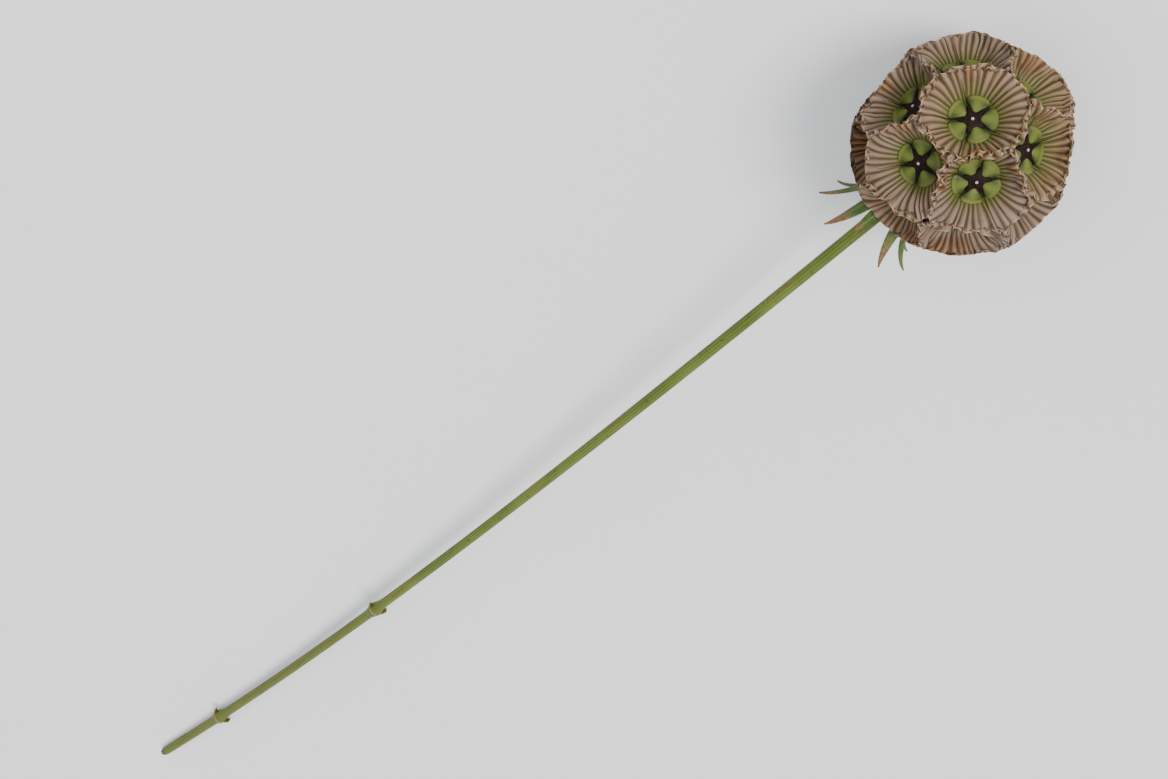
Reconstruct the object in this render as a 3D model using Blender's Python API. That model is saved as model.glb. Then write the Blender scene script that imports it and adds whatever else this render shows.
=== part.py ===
"""A cut stem of starflower scabiosa gone to seed, lying on a flat surface.

The head is a globe of papery collars, one for each floret. The collars press rim to rim, so each is
bent along the walls that it shares with its neighbours. The head lies to +X, its stem runs to -X, and
the flower rests at z = 0 on a few flattened rims and on the cut end of its stem.
"""

import math
import random

import bmesh
import bpy
import numpy as np
from mathutils import Vector

# Driving dimensions, in metres and radians.
HEAD_CENTRE = np.array((0.2146, -0.0001, 0.0224))  # puts the origin under the middle of the flower
HEAD_RADIUS = 0.024  # to the crests between the collars
HEAD_RISE = math.radians(4.0)  # of the head's axis above level, away from the stem
VIEW_FROM_AXIS = math.radians(66.0)  # between the head's axis and the side named in SEEN_STARS
STAR_DEPTH = 0.77  # of a star from the middle, in head radii
CORE_RADIUS = 0.009  # of the receptacle that the florets grow from
CORE_SUBDIVISIONS = 2
FLORETS = 25
CANDIDATES = 500  # evenly spread directions that the unseen florets are picked from
SPREAD_ROUNDS = 400
SPREAD_RATE = 0.004
SPREAD_POWER = 6
HOLD = 0.15  # how firmly a floret in SEEN_STARS stays there while they spread
CLEAR_OF_STEM = math.radians(43.0)  # the nearest that a floret stands to the stem
SEED = 11

# The florets on the side that is seen: where each star is, in head radii to the right and up, and its
# rank, from 0 to 1. A collar's rim leans out over those of lower rank.
SEEN_STARS = (
    (-0.13, 0.19, 1.0),
    (0.29, -0.08, 0.8),
    (-0.14, -0.32, 0.7),
    (-0.55, -0.11, 0.3),
    (0.37, 0.40, 0.6),
    (-0.01, 0.68, 0.3),
    (-0.49, 0.43, 0.45),
    (0.73, 0.13, 0.15),
    (0.51, -0.49, 0.3),
    (0.13, -0.71, 0.35),
    (-0.50, -0.55, 0.05),
)

# One floret: a throat with five cushions and a star, and a pleated collar round it.
THROAT_RADIUS = 0.0049
THROAT_HEIGHT = 0.0173
COLLAR_LENGTH = 0.0066  # along the paper, from throat to rim
COLLAR_SLOPE = (math.radians(52.0), math.radians(22.0))  # at the throat and at a free rim
COLLAR_THICKNESS = 0.0006
COLLAR_STEPS = 22
COLLAR_RINGS = (0.0, 0.48, 1.0)  # the steps that get a ring of vertices, as shares of the collar
FINER = 4  # azimuths that a collar is worked out at for each one that is kept
CORNER_PASSES = 26  # rounds of smoothing that round the corners between two walls
SETTLE_ROUNDS = 3  # repeats in which points are moved back inside all walls
PLEATS = 15
PLEAT_HEIGHT = 0.0004  # at the rim
WALL_CLEARANCE = 0.00085  # from the middle of the paper to the wall that it presses on
POINTS = 5  # of a star, and cushions between them
LOBE_SIDES = 6  # edges along each cushion's outer side
STAR_ARM_RADIUS = 0.0021
STAR_NOTCH_RADIUS = 0.0013
STAR_HEIGHT = 0.0186
STAR_NOTCH_HEIGHT = 0.0172
LOBE_RADIUS = 0.0035
ARM_HEIGHT = 0.0184
LOBE_HEIGHT = 0.0179
GROOVE_HEIGHT = 0.0167
ARM_RISE = 0.0005  # of a star's arm where it meets the collar
ROOT_RINGS = ((0.0039, 0.0138), (0.0018, 0.0083))  # radius and height, below the collar
ROOT_SIDES = 10

# The walls between the collars.
NEIGHBOUR_ANGLE = math.radians(75.0)  # florets closer than this share a wall
LEAN_FROM = 0.0195  # from the middle of the head: walls are flat below this
LEAN_SHIFT = 0.0022  # of a crest over the lower neighbour
CREST_WAVE = 0.0005
CREST_WAVE_LENGTH = 0.0052
TOP_RANK_LIFT = 0.0006  # of the highest floret over the lowest

# The bracts under the head.
BRACTS = 9
BRACT_DISC = (0.0093, 0.0105)  # from the middle of the head, along the stem
BRACT_DISC_RADIUS = 0.0042
BRACT_FOOT = (0.0026, 0.0099)  # of a blade's middle, off the stem's line and along it
BRACT_SCATTER = 0.12  # of a blade's place round the stem, in shares of its room
BRACT_LEAN = math.radians(20.0)
BRACT_CURL = math.radians(120.0)
BRACT_CURL_RANGE = (0.35, 1.3)
BRACT_BEND_FROM = 0.5  # of its length
BRACT_FOLD = 0.12  # depth of the fold along its middle, in widths
BRACT_LENGTH = 0.024
BRACT_LENGTH_RANGE = (0.85, 1.15)
BRACT_WIDTH = 0.0034
BRACT_TIP_WIDTH = 0.12  # of BRACT_WIDTH
BRACT_THICKNESS = 0.0007
BRACT_RINGS = 9

# The stem.
STEM_START = 0.0108  # from the middle of the head
STEM_REACH = 0.452  # from the middle of the head to the cut end, along X
STEM_END_OFFSET = 0.016  # along Y
STEM_END_SLOPE = math.radians(1.2)
STEM_END_TURN = math.radians(5.0)  # towards +Y
STEM_END_DEPTH = 0.84  # of the stem's radius, from its middle down to the surface at the cut
STEM_PULL = 0.15  # how far each end's direction carries into the curve
STEM_RADII = ((0.0, 0.0024), (0.02, 0.00150), (0.45, 0.00150), (1.0, 0.00185))  # by share of its length
STEM_SIDES = 12
STEM_RIDGE = 0.05  # of the radius
STEM_RINGS = 56
NECK_RINGS = (0.005, 0.012)  # shares of the length
STEM_NODES = (0.60, 0.885)  # shares of the length
NODE_SWELL = 0.5  # of the radius
NODE_LENGTH = 0.0033
NODE_RINGS = (-2.0, -1.1, -0.5, 0.0, 0.5, 1.1, 2.0)  # in node lengths
NODE_CLEARING = 2.4  # node lengths either way without other rings
STUB_LENGTH = 0.0042
STUB_WIDTH = 0.0026
STUB_THICKNESS = 0.0009
STUB_STATIONS = ((-0.9, 0.55, 1.0), (0.2, 0.95, 1.0), (1.0, 1.25, 0.62))  # along, off the middle, size
STUB_TURNS = (math.radians(35.0), math.radians(15.0))
CUT_SLANT = 0.0016

# Colours as red, green and blue, with the roughness.
PAPERY_COLLAR = ((0.33, 0.24, 0.16), 0.75)
BRACT_GREEN = ((0.13, 0.22, 0.06), 0.6)
STEM_GREEN = ((0.20, 0.27, 0.06), 0.5)
SMOOTH_BELOW = math.radians(40.0)  # edges sharper than this stay sharp


# A direction that no floret or stem has, to measure azimuths from.
ASIDE = (0.31, 0.87, 0.38)


def unit(vectors):
    """The vectors at length one."""
    return vectors / np.linalg.norm(vectors, axis=-1, keepdims=True)


HEAD_AXIS = np.array((math.cos(HEAD_RISE), 0.0, math.sin(HEAD_RISE)))
HEAD_BACK = np.array((-math.sin(HEAD_RISE), 0.0, math.cos(HEAD_RISE)))
VIEW = math.cos(VIEW_FROM_AXIS) * HEAD_AXIS + math.sin(VIEW_FROM_AXIS) * HEAD_BACK
VIEW_UP = math.sin(VIEW_FROM_AXIS) * HEAD_AXIS - math.cos(VIEW_FROM_AXIS) * HEAD_BACK
VIEW_RIGHT = np.cross(VIEW_UP, VIEW)


def seen_axes():
    """The axes of the florets in SEEN_STARS, and of the one that the head rests on."""
    axes = []
    for right, up, _ in SEEN_STARS:
        x = right / STAR_DEPTH
        y = up / STAR_DEPTH
        depth = math.sqrt(1.0 - x * x - y * y)
        axes.append(x * VIEW_RIGHT + y * VIEW_UP + depth * VIEW)
    axes.append(np.array((0.0, 0.0, -1.0)))
    return axes


def spread_evenly(axes, seen):
    """Pushes the florets apart until they cover the globe evenly. The one under the head stays."""
    axes = np.array(axes)
    home = axes.copy()
    for _ in range(SPREAD_ROUNDS):
        apart = axes[:, None, :] - axes[None, :, :]
        distance = np.linalg.norm(apart, axis=2) + np.eye(len(axes))
        push = SPREAD_RATE * (apart / distance[..., None] ** SPREAD_POWER).sum(axis=1)
        push[:seen] += HOLD * (home[:seen] - axes[:seen])
        push[seen] = 0.0
        axes = unit(axes + push)
        for i in range(len(axes)):
            to_stem = -float(axes[i] @ HEAD_AXIS)
            if to_stem > math.cos(CLEAR_OF_STEM):
                aside = unit(axes[i] + to_stem * HEAD_AXIS)
                axes[i] = math.sin(CLEAR_OF_STEM) * aside - math.cos(CLEAR_OF_STEM) * HEAD_AXIS
    return axes


def floret_axes():
    """The directions of all florets: the seen ones, then each next one where most room is left."""
    axes = seen_axes()
    candidates = []
    for k in range(CANDIDATES):
        z = 1.0 - (2.0 * k + 1.0) / CANDIDATES
        turn = k * math.pi * (3.0 - math.sqrt(5.0))
        side = math.sqrt(1.0 - z * z)
        candidates.append((side * math.cos(turn), side * math.sin(turn), z))
    candidates = np.array(candidates)
    candidates = candidates[candidates @ -HEAD_AXIS < math.cos(CLEAR_OF_STEM)]
    while len(axes) < FLORETS:
        nearest = (candidates @ np.array(axes).T).max(axis=1)
        axes.append(candidates[int(np.argmin(nearest))])
    return spread_evenly(axes, len(SEEN_STARS))


class Wall:
    """The surface on which two neighbouring collars press, wavy and leaning over the lower one."""

    def __init__(self, first, second, lean, phase):
        self.across = unit(second - first)
        self.out = unit(first + second)
        self.along = np.cross(self.across, self.out)
        self.lean = lean
        self.phase = phase

    def past(self, points, side):
        """How far points lie past the wall for the first (side 1) or second (side -1) collar."""
        rise = (points @ self.out - LEAN_FROM) / (HEAD_RADIUS - LEAN_FROM)
        wave = CREST_WAVE * np.sin(points @ self.along * (math.tau / CREST_WAVE_LENGTH) + self.phase)
        shift = np.clip(rise, 0.0, None) * (self.lean * LEAN_SHIFT + wave)
        return side * (points @ self.across - shift) + WALL_CLEARANCE


def floret_ranks(draw):
    """The rank of each floret: as seen, and drawn at random for those that aren't."""
    ranks = [rank for _, _, rank in SEEN_STARS]
    return ranks + [draw.uniform(0.0, 1.0) for _ in range(FLORETS - len(ranks))]


def collar_walls(axes, ranks, draw):
    """For each floret its walls as (wall, side), with one that keeps it clear of the stem."""
    walls = [[] for _ in axes]
    for i in range(len(axes)):
        for j in range(i + 1, len(axes)):
            if axes[i] @ axes[j] > math.cos(NEIGHBOUR_ANGLE):
                wall = Wall(axes[i], axes[j], ranks[i] - ranks[j], draw.uniform(0.0, math.tau))
                walls[i].append((wall, 1.0))
                walls[j].append((wall, -1.0))
        walls[i].append((Wall(axes[i], -HEAD_AXIS, 0.0, 0.0), 1.0))
    return walls


def keep_inside(points, walls):
    """Moves points that lie past a wall back onto it."""
    for _ in range(SETTLE_ROUNDS):
        for wall, side in walls:
            past = np.clip(wall.past(points, side), 0.0, None)
            points = points - side * past[..., None] * wall.across
    return points


def side_directions(axis, roll, azimuths):
    """Directions square to an axis, one for each azimuth."""
    first = unit(np.cross(axis, ASIDE))
    second = np.cross(axis, first)
    turned = np.asarray(azimuths) + roll
    return np.cos(turned)[:, None] * first + np.sin(turned)[:, None] * second


def rounded(rows):
    """Rows of points round a collar, with the corners between its walls rounded off."""
    for _ in range(CORNER_PASSES):
        rows = 0.5 * rows + 0.25 * (np.roll(rows, 1, axis=1) + np.roll(rows, -1, axis=1))
    return rows


def collar_paper(axis, roll, rank, walls, count):
    """The middle of a collar's paper, and its normals into the bowl, by step and azimuth."""
    out = side_directions(axis, roll, even_azimuths(count * FINER))
    lift = TOP_RANK_LIFT * rank
    points = THROAT_RADIUS * out + (THROAT_HEIGHT + lift) * axis
    points = keep_inside(points, walls)
    rows = [points]
    step = COLLAR_LENGTH / COLLAR_STEPS
    for k in range(COLLAR_STEPS):
        share = k / COLLAR_STEPS
        slope = COLLAR_SLOPE[0] + (COLLAR_SLOPE[1] - COLLAR_SLOPE[0]) * share
        heading = math.cos(slope) * out + math.sin(slope) * axis
        for _ in range(SETTLE_ROUNDS):
            moved = keep_inside(points + step * heading, walls)
            heading = unit(moved - points + 1e-7 * axis)
        points = keep_inside(points + step * heading, walls)
        rows.append(points)
    paper = rounded(np.array(rows))
    up = np.gradient(paper, axis=0)
    around = np.roll(paper, -1, axis=1) - np.roll(paper, 1, axis=1)
    normals = unit(np.cross(up, around))
    normals *= np.sign((normals * axis).sum(axis=2).mean())
    return paper[:, ::FINER], normals[:, ::FINER]


def bridge(faces, inner, outer):
    """Triangles between two closed rings of any counts. Each ring is a list of vertex numbers."""
    i = 0
    j = 0
    while i < len(inner) or j < len(outer):
        a = inner[i % len(inner)]
        b = outer[j % len(outer)]
        if j >= len(outer) or (i < len(inner) and (i + 1) * len(outer) < (j + 1) * len(inner)):
            i += 1
            faces.append((a, b, inner[i % len(inner)]))
        else:
            j += 1
            faces.append((a, b, outer[j % len(outer)]))


def cap(faces, ring, middle, flip):
    """A fan of triangles that closes a ring."""
    for k in range(len(ring)):
        pair = (ring[k], ring[(k + 1) % len(ring)])
        faces.append((middle, pair[1], pair[0]) if flip else (middle, pair[0], pair[1]))


def even_azimuths(count):
    """Azimuths that share a full turn."""
    return np.arange(count) * (math.tau / count)


class Rings:
    """Collects the vertices and faces of a body made of rings."""

    def __init__(self):
        self.points = []
        self.faces = []
        self.count = 0

    def ring(self, points):
        """Adds a ring of points and gives their numbers."""
        points = np.atleast_2d(points)
        self.points.append(points)
        self.count += len(points)
        return list(range(self.count - len(points), self.count))

    def all_points(self):
        """Every point that was added."""
        return np.concatenate(self.points)


def throat_rings(body, axis, roll, lift):
    """The star and the five cushions in a floret's throat. Returns their outermost ring."""
    def ring_at(radii, heights):
        out = side_directions(axis, roll, even_azimuths(len(heights)))
        return np.array(radii)[:, None] * out + (np.array(heights) + lift)[:, None] * axis

    middle = body.ring((STAR_HEIGHT + lift) * axis)
    star_radii = [STAR_ARM_RADIUS, STAR_NOTCH_RADIUS] * POINTS
    star = body.ring(ring_at(star_radii, [STAR_HEIGHT, STAR_NOTCH_HEIGHT] * POINTS))
    cushion = [LOBE_HEIGHT] * (LOBE_SIDES - 3)
    sector = [ARM_HEIGHT, GROOVE_HEIGHT, *cushion, GROOVE_HEIGHT]
    lobes = body.ring(ring_at([LOBE_RADIUS] * (LOBE_SIDES * POINTS), sector * POINTS))
    cap(body.faces, star, middle[0], False)
    last = LOBE_SIDES - 1
    for k in range(POINTS):
        arm = star[2 * k]
        notch = star[2 * k + 1]
        next_arm = star[(2 * k + 2) % len(star)]
        edge = [lobes[(LOBE_SIDES * k + n) % len(lobes)] for n in range(LOBE_SIDES + 1)]
        body.faces += [(arm, edge[0], edge[1]), (arm, edge[1], notch)]
        body.faces += [(notch, edge[n], edge[n + 1]) for n in range(1, last)]
        body.faces += [(notch, edge[last], next_arm), (next_arm, edge[last], edge[last + 1])]
    return lobes


def floret_mesh(name, axis, roll, rank, walls):
    """One floret as a closed body, from its root in the receptacle to the rim of its collar."""
    body = Rings()
    lift = TOP_RANK_LIFT * rank
    lobes = throat_rings(body, axis, roll, lift)
    segments = 2 * PLEATS
    azimuths = even_azimuths(segments)
    paper, normals = collar_paper(axis, roll, rank, walls, segments)
    pleat = np.cos(PLEATS * azimuths)[:, None]
    inner_rings = []
    outer_rings = []
    for share in COLLAR_RINGS:
        k = round(share * COLLAR_STEPS)
        wave = math.sqrt(share) * PLEAT_HEIGHT * pleat * normals[k]
        half = COLLAR_THICKNESS / 2 * normals[k]
        inner = paper[k] + wave + half
        if share == 0.0:
            inner[:: segments // POINTS] += ARM_RISE * axis
        else:
            outer_rings.append(paper[k] + wave - half)
        inner_rings.append(body.ring(inner))
    bridge(body.faces, lobes, inner_rings[0])
    bridge(body.faces, inner_rings[0], inner_rings[1])
    bridge(body.faces, inner_rings[1], inner_rings[2])
    rim = body.ring(outer_rings[1])
    waist = body.ring(outer_rings[0])
    bridge(body.faces, inner_rings[2], rim)
    bridge(body.faces, waist, rim)
    last = waist
    out = side_directions(axis, roll, even_azimuths(ROOT_SIDES))
    for radius, height in ROOT_RINGS:
        root = body.ring(radius * out + height * axis)
        bridge(body.faces, last, root)
        last = root
    foot = body.ring(ROOT_RINGS[-1][1] * axis)
    cap(body.faces, last, foot[0], True)
    return placed_mesh(name, body.all_points() + HEAD_CENTRE, body.faces)


def placed_mesh(name, points, faces):
    """A mesh with nothing below the surface that the flower lies on."""
    points = np.array(points)
    points[:, 2] = np.clip(points[:, 2], 0.0, None)
    mesh = bpy.data.meshes.new(name)
    mesh.from_pydata(points.tolist(), [], faces)
    edit = bmesh.new()
    edit.from_mesh(mesh)
    bmesh.ops.recalc_face_normals(edit, faces=edit.faces)
    edit.to_mesh(mesh)
    edit.free()
    return mesh


def add_object(name, mesh, collection):
    """An object for a mesh, in a collection."""
    thing = bpy.data.objects.new(name, mesh)
    collection.objects.link(thing)
    return thing


def make_material(name, colour, roughness):
    """A plain Principled material."""
    material = bpy.data.materials.new(name)
    material.use_nodes = True
    shader = material.node_tree.nodes["Principled BSDF"]
    shader.inputs["Base Color"].default_value = (*colour, 1.0)
    shader.inputs["Roughness"].default_value = roughness
    shader.inputs["Metallic"].default_value = 0.0
    return material


def join_with(base, collection):
    """Unites a body with all bodies of a collection, which are then removed."""
    union = base.modifiers.new("union", "BOOLEAN")
    union.operation = "UNION"
    union.operand_type = "COLLECTION"
    union.collection = collection
    union.solver = "EXACT"
    view_layer = bpy.context.view_layer
    view_layer.update()
    joined = bpy.data.meshes.new_from_object(base.evaluated_get(view_layer.depsgraph))
    joined.name = base.name
    base.modifiers.clear()
    base.data = joined
    for thing in list(collection.objects):
        bpy.data.objects.remove(thing)
    bpy.data.collections.remove(collection)


def new_collection(name):
    """A collection in the scene for the bodies of one union."""
    collection = bpy.data.collections.new(name)
    bpy.context.scene.collection.children.link(collection)
    return collection


def make_seed_head():
    """The receptacle with all its florets, as one body."""
    draw = random.Random(SEED)
    axes = floret_axes()
    ranks = floret_ranks(draw)
    rolls = [draw.uniform(0.0, math.tau) for _ in axes]
    walls = collar_walls(axes, ranks, draw)
    florets = new_collection("florets")
    for i, axis in enumerate(axes):
        mesh = floret_mesh(f"floret_{i}", axis, rolls[i], ranks[i], walls[i])
        add_object(f"floret_{i}", mesh, florets)
    core = bmesh.new()
    bmesh.ops.create_icosphere(core, subdivisions=CORE_SUBDIVISIONS, radius=CORE_RADIUS)
    bmesh.ops.translate(core, vec=Vector(HEAD_CENTRE), verts=core.verts)
    mesh = bpy.data.meshes.new("seed_head")
    core.to_mesh(mesh)
    core.free()
    head = add_object("seed_head", mesh, bpy.context.scene.collection)
    join_with(head, florets)
    return head


def make_bracts():
    """The ring of narrow leaves under the head, joined at a small disc."""
    draw = random.Random(SEED + 1)
    down = -HEAD_AXIS
    disc = Rings()
    around = side_directions(down, 0.0, even_azimuths(BRACTS * 2))
    upper = disc.ring(BRACT_DISC_RADIUS * around + BRACT_DISC[0] * down)
    lower = disc.ring(BRACT_DISC_RADIUS * around + BRACT_DISC[1] * down)
    bridge(disc.faces, upper, lower)
    cap(disc.faces, upper, disc.ring(BRACT_DISC[0] * down)[0], True)
    cap(disc.faces, lower, disc.ring(BRACT_DISC[1] * down)[0], False)
    mesh = placed_mesh("bracts", disc.all_points() + HEAD_CENTRE, disc.faces)
    bracts = add_object("bracts", mesh, bpy.context.scene.collection)
    blades = new_collection("blades")
    for k in range(BRACTS):
        azimuth = math.tau * (k + draw.uniform(-BRACT_SCATTER, BRACT_SCATTER)) / BRACTS
        length = BRACT_LENGTH * draw.uniform(*BRACT_LENGTH_RANGE)
        curl = BRACT_CURL * draw.uniform(*BRACT_CURL_RANGE)
        out = side_directions(down, 0.0, [azimuth])[0]
        blade = bract_blade(down, out, length, curl)
        mesh = placed_mesh(f"bract_{k}", blade.all_points() + HEAD_CENTRE, blade.faces)
        add_object(f"bract_{k}", mesh, blades)
    join_with(bracts, blades)
    return bracts


def bract_blade(down, out, length, curl):
    """One narrow leaf, which follows the stem inside the head and curls outward below it."""
    blade = Rings()
    across = np.cross(down, out)
    centre = BRACT_FOOT[0] * out + BRACT_FOOT[1] * down
    step = length / (BRACT_RINGS - 1)
    last = None
    for k in range(BRACT_RINGS):
        share = k / (BRACT_RINGS - 1)
        angle = BRACT_LEAN + curl * max(0.0, share - BRACT_BEND_FROM) ** 1.5
        heading = math.cos(angle) * down + math.sin(angle) * out
        face = math.sin(angle) * down - math.cos(angle) * out
        swell = math.sin(math.pi * (0.25 + 0.75 * share) ** 1.1) ** 0.8
        width = BRACT_WIDTH * (swell + BRACT_TIP_WIDTH)
        fold = BRACT_FOLD * width
        half = BRACT_THICKNESS / 2 * face
        section = [
            centre - across * width / 2 + fold * face + half,
            centre + half,
            centre + across * width / 2 + fold * face + half,
            centre + across * width / 2 + fold * face - half,
            centre - half,
            centre - across * width / 2 + fold * face - half,
        ]
        ring = blade.ring(np.array(section))
        if last is None:
            cap(blade.faces, ring, blade.ring(centre)[0], True)
        else:
            bridge(blade.faces, last, ring)
        last = ring
        centre = centre + step * heading
    cap(blade.faces, last, blade.ring(centre - step * heading)[0], False)
    return blade


def stem_line(shares):
    """Points along the middle of the stem, from the head to the cut end, and their directions."""
    down = -HEAD_AXIS
    start = STEM_START * down
    low = STEM_RADII[-1][1] * STEM_END_DEPTH
    end = np.array((-STEM_REACH, STEM_END_OFFSET, low - HEAD_CENTRE[2]))
    end_heading = np.array(
        (-math.cos(STEM_END_TURN), math.sin(STEM_END_TURN), -math.sin(STEM_END_SLOPE))
    )
    pulls = (start, start + STEM_PULL * down, end - STEM_PULL * end_heading, end)
    t = np.asarray(shares)[:, None]
    points = (
        (1 - t) ** 3 * pulls[0]
        + 3 * (1 - t) ** 2 * t * pulls[1]
        + 3 * (1 - t) * t**2 * pulls[2]
        + t**3 * pulls[3]
    )
    headings = (
        (1 - t) ** 2 * (pulls[1] - pulls[0])
        + 2 * (1 - t) * t * (pulls[2] - pulls[1])
        + t**2 * (pulls[3] - pulls[2])
    )
    return points, unit(headings)


def stem_radius(share):
    """The stem's radius at a share of its length, with the swelling at each joint."""
    radius = float(np.interp(share, [r[0] for r in STEM_RADII], [r[1] for r in STEM_RADII]))
    for node in STEM_NODES:
        radius *= 1 + NODE_SWELL * math.exp(-(((share - node) * STEM_REACH / NODE_LENGTH) ** 2))
    return radius


def stem_shares():
    """Where the stem has rings: evenly, and closer at the neck and the joints."""
    shares = set(np.linspace(0.0, 1.0, STEM_RINGS).round(4))
    shares |= set(NECK_RINGS)
    unit_share = NODE_LENGTH / STEM_REACH
    for node in STEM_NODES:
        shares -= {share for share in shares if abs(share - node) < NODE_CLEARING * unit_share}
        shares |= {round(node + k * unit_share, 4) for k in NODE_RINGS}
    return sorted(shares)


def make_stem():
    """The stem, with faint ridges, swollen joints and the stubs of its stripped leaves."""
    shares = stem_shares()
    points, headings = stem_line(shares)
    body = Rings()
    last = None
    azimuths = even_azimuths(STEM_SIDES)
    ridge = 1 + STEM_RIDGE * np.cos(azimuths * STEM_SIDES / 2)
    for k, share in enumerate(shares):
        side = unit(np.cross(headings[k], (0.0, 0.0, 1.0)))
        up = np.cross(side, headings[k])
        spokes = np.cos(azimuths)[:, None] * side + np.sin(azimuths)[:, None] * up
        section = points[k] + stem_radius(share) * ridge[:, None] * spokes
        if share == 1.0:
            section += CUT_SLANT * np.sin(azimuths)[:, None] * headings[k]
        ring = body.ring(section)
        if last is None:
            cap(body.faces, ring, body.ring(points[k])[0], True)
        else:
            bridge(body.faces, last, ring)
        last = ring
    cap(body.faces, last, body.ring(points[-1])[0], False)
    mesh = placed_mesh("stem", body.all_points() + HEAD_CENTRE, body.faces)
    stem = add_object("stem", mesh, bpy.context.scene.collection)
    stubs = new_collection("stubs")
    for number, node in enumerate(STEM_NODES):
        place, heading = stem_line([node])
        side = unit(np.cross(heading[0], (0.0, 0.0, 1.0)))
        up = np.cross(side, heading[0])
        turn = STUB_TURNS[number]
        out = math.cos(turn) * side + math.sin(turn) * up
        for sign in (-1.0, 1.0):
            stub = leaf_stub(place[0], -heading[0], sign * out, stem_radius(node))
            mesh = placed_mesh("stub", stub.all_points() + HEAD_CENTRE, stub.faces)
            add_object("stub", mesh, stubs)
    join_with(stem, stubs)
    return stem


def leaf_stub(place, towards_head, out, radius):
    """The base of a stripped leaf, which clasps the joint and stands off towards the head."""
    stub = Rings()
    across = np.cross(towards_head, out)
    last = None
    for along, off, size in STUB_STATIONS:
        middle = place + along * STUB_LENGTH / 2 * towards_head + off * radius * out
        wide = size * STUB_WIDTH / 2 * across
        thick = size * STUB_THICKNESS / 2 * out
        inner = [middle - wide - thick, middle + wide - thick]
        outer = [middle + wide + thick, middle - wide + thick]
        ring = stub.ring(np.array(inner + outer))
        if last is None:
            cap(stub.faces, ring, stub.ring(middle)[0], True)
        else:
            bridge(stub.faces, last, ring)
        last = ring
    cap(stub.faces, last, stub.ring(middle)[0], False)
    return stub


def main():
    """Removes what the scene holds and builds the flower."""
    for thing in list(bpy.data.objects):
        bpy.data.objects.remove(thing)
    head = make_seed_head()
    head.data.materials.append(make_material("papery_collar", *PAPERY_COLLAR))
    bracts = make_bracts()
    bracts.data.materials.append(make_material("bract_green", *BRACT_GREEN))
    stem = make_stem()
    stem.data.materials.append(make_material("stem_green", *STEM_GREEN))
    for thing in (head, bracts, stem):
        thing.data.shade_smooth()
        thing.data.set_sharp_from_angle(angle=SMOOTH_BELOW)


main()
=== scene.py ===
"""A cut stem of starflower scabiosa gone to seed, lying on a pale floor.

One floret is modelled laid flat: its pleated paper collar, its green cushions and its dark star. Each
copy is then bent into a bowl of its own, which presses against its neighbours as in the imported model.
The stem, the bracts and the seed tubes are modelled straight and bent or set in place the same way.
Lengths are in metres, and angles in radians.
"""

import math
import random

import bmesh
import bpy
import numpy as np
from mathutils import Matrix, Vector


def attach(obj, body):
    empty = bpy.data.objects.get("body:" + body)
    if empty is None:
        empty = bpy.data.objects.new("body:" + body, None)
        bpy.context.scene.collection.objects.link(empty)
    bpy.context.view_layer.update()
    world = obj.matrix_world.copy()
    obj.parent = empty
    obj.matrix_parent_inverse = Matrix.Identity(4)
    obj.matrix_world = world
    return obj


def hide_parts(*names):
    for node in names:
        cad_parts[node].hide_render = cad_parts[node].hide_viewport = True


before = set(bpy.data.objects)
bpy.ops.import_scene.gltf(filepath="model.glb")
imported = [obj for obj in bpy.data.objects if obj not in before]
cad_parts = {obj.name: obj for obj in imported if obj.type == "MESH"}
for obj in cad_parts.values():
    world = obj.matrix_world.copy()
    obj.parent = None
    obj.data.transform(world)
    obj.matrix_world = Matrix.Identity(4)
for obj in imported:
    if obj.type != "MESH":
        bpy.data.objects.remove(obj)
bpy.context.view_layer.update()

# The head and the places of its florets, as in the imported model.
HEAD_CENTRE = np.array((0.2146, -0.0001, 0.0224))
HEAD_RADIUS = 0.024
HEAD_RISE = math.radians(4.0)
HEAD_AXIS = np.array((math.cos(HEAD_RISE), 0.0, math.sin(HEAD_RISE)))
HEAD_BACK = np.array((-math.sin(HEAD_RISE), 0.0, math.cos(HEAD_RISE)))
STEMWARD = -HEAD_AXIS
VIEW_FROM_AXIS = math.radians(66.0)
VIEW = math.cos(VIEW_FROM_AXIS) * HEAD_AXIS + math.sin(VIEW_FROM_AXIS) * HEAD_BACK
VIEW_UP = math.sin(VIEW_FROM_AXIS) * HEAD_AXIS - math.cos(VIEW_FROM_AXIS) * HEAD_BACK
VIEW_RIGHT = np.cross(VIEW_UP, VIEW)
STAR_DEPTH = 0.77  # how far from the middle the stars sit, of the head's radius
SEEN_STARS = (  # right and up of the middle, of the head's radius, and how far over its neighbours
    (-0.13, 0.19, 1.0),
    (0.29, -0.08, 0.8),
    (-0.14, -0.32, 0.7),
    (-0.55, -0.11, 0.3),
    (0.37, 0.40, 0.6),
    (-0.01, 0.68, 0.3),
    (-0.49, 0.43, 0.45),
    (0.73, 0.13, 0.15),
    (0.51, -0.49, 0.3),
    (0.13, -0.71, 0.35),
    (-0.50, -0.55, 0.05),
)
FLORETS = 25
CANDIDATES = 500
GOLDEN_ANGLE = math.pi * (3.0 - math.sqrt(5.0))
SPREAD_ROUNDS = 400
SPREAD_RATE = 0.004
SPREAD_POWER = 6
HOLD = 0.15  # of the way back to where it is seen, in each round
CLEAR_OF_STEM = math.radians(43.0)
ASIDE = (0.31, 0.87, 0.38)  # the direction from which each floret's turn is counted
SEED = 11

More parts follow.
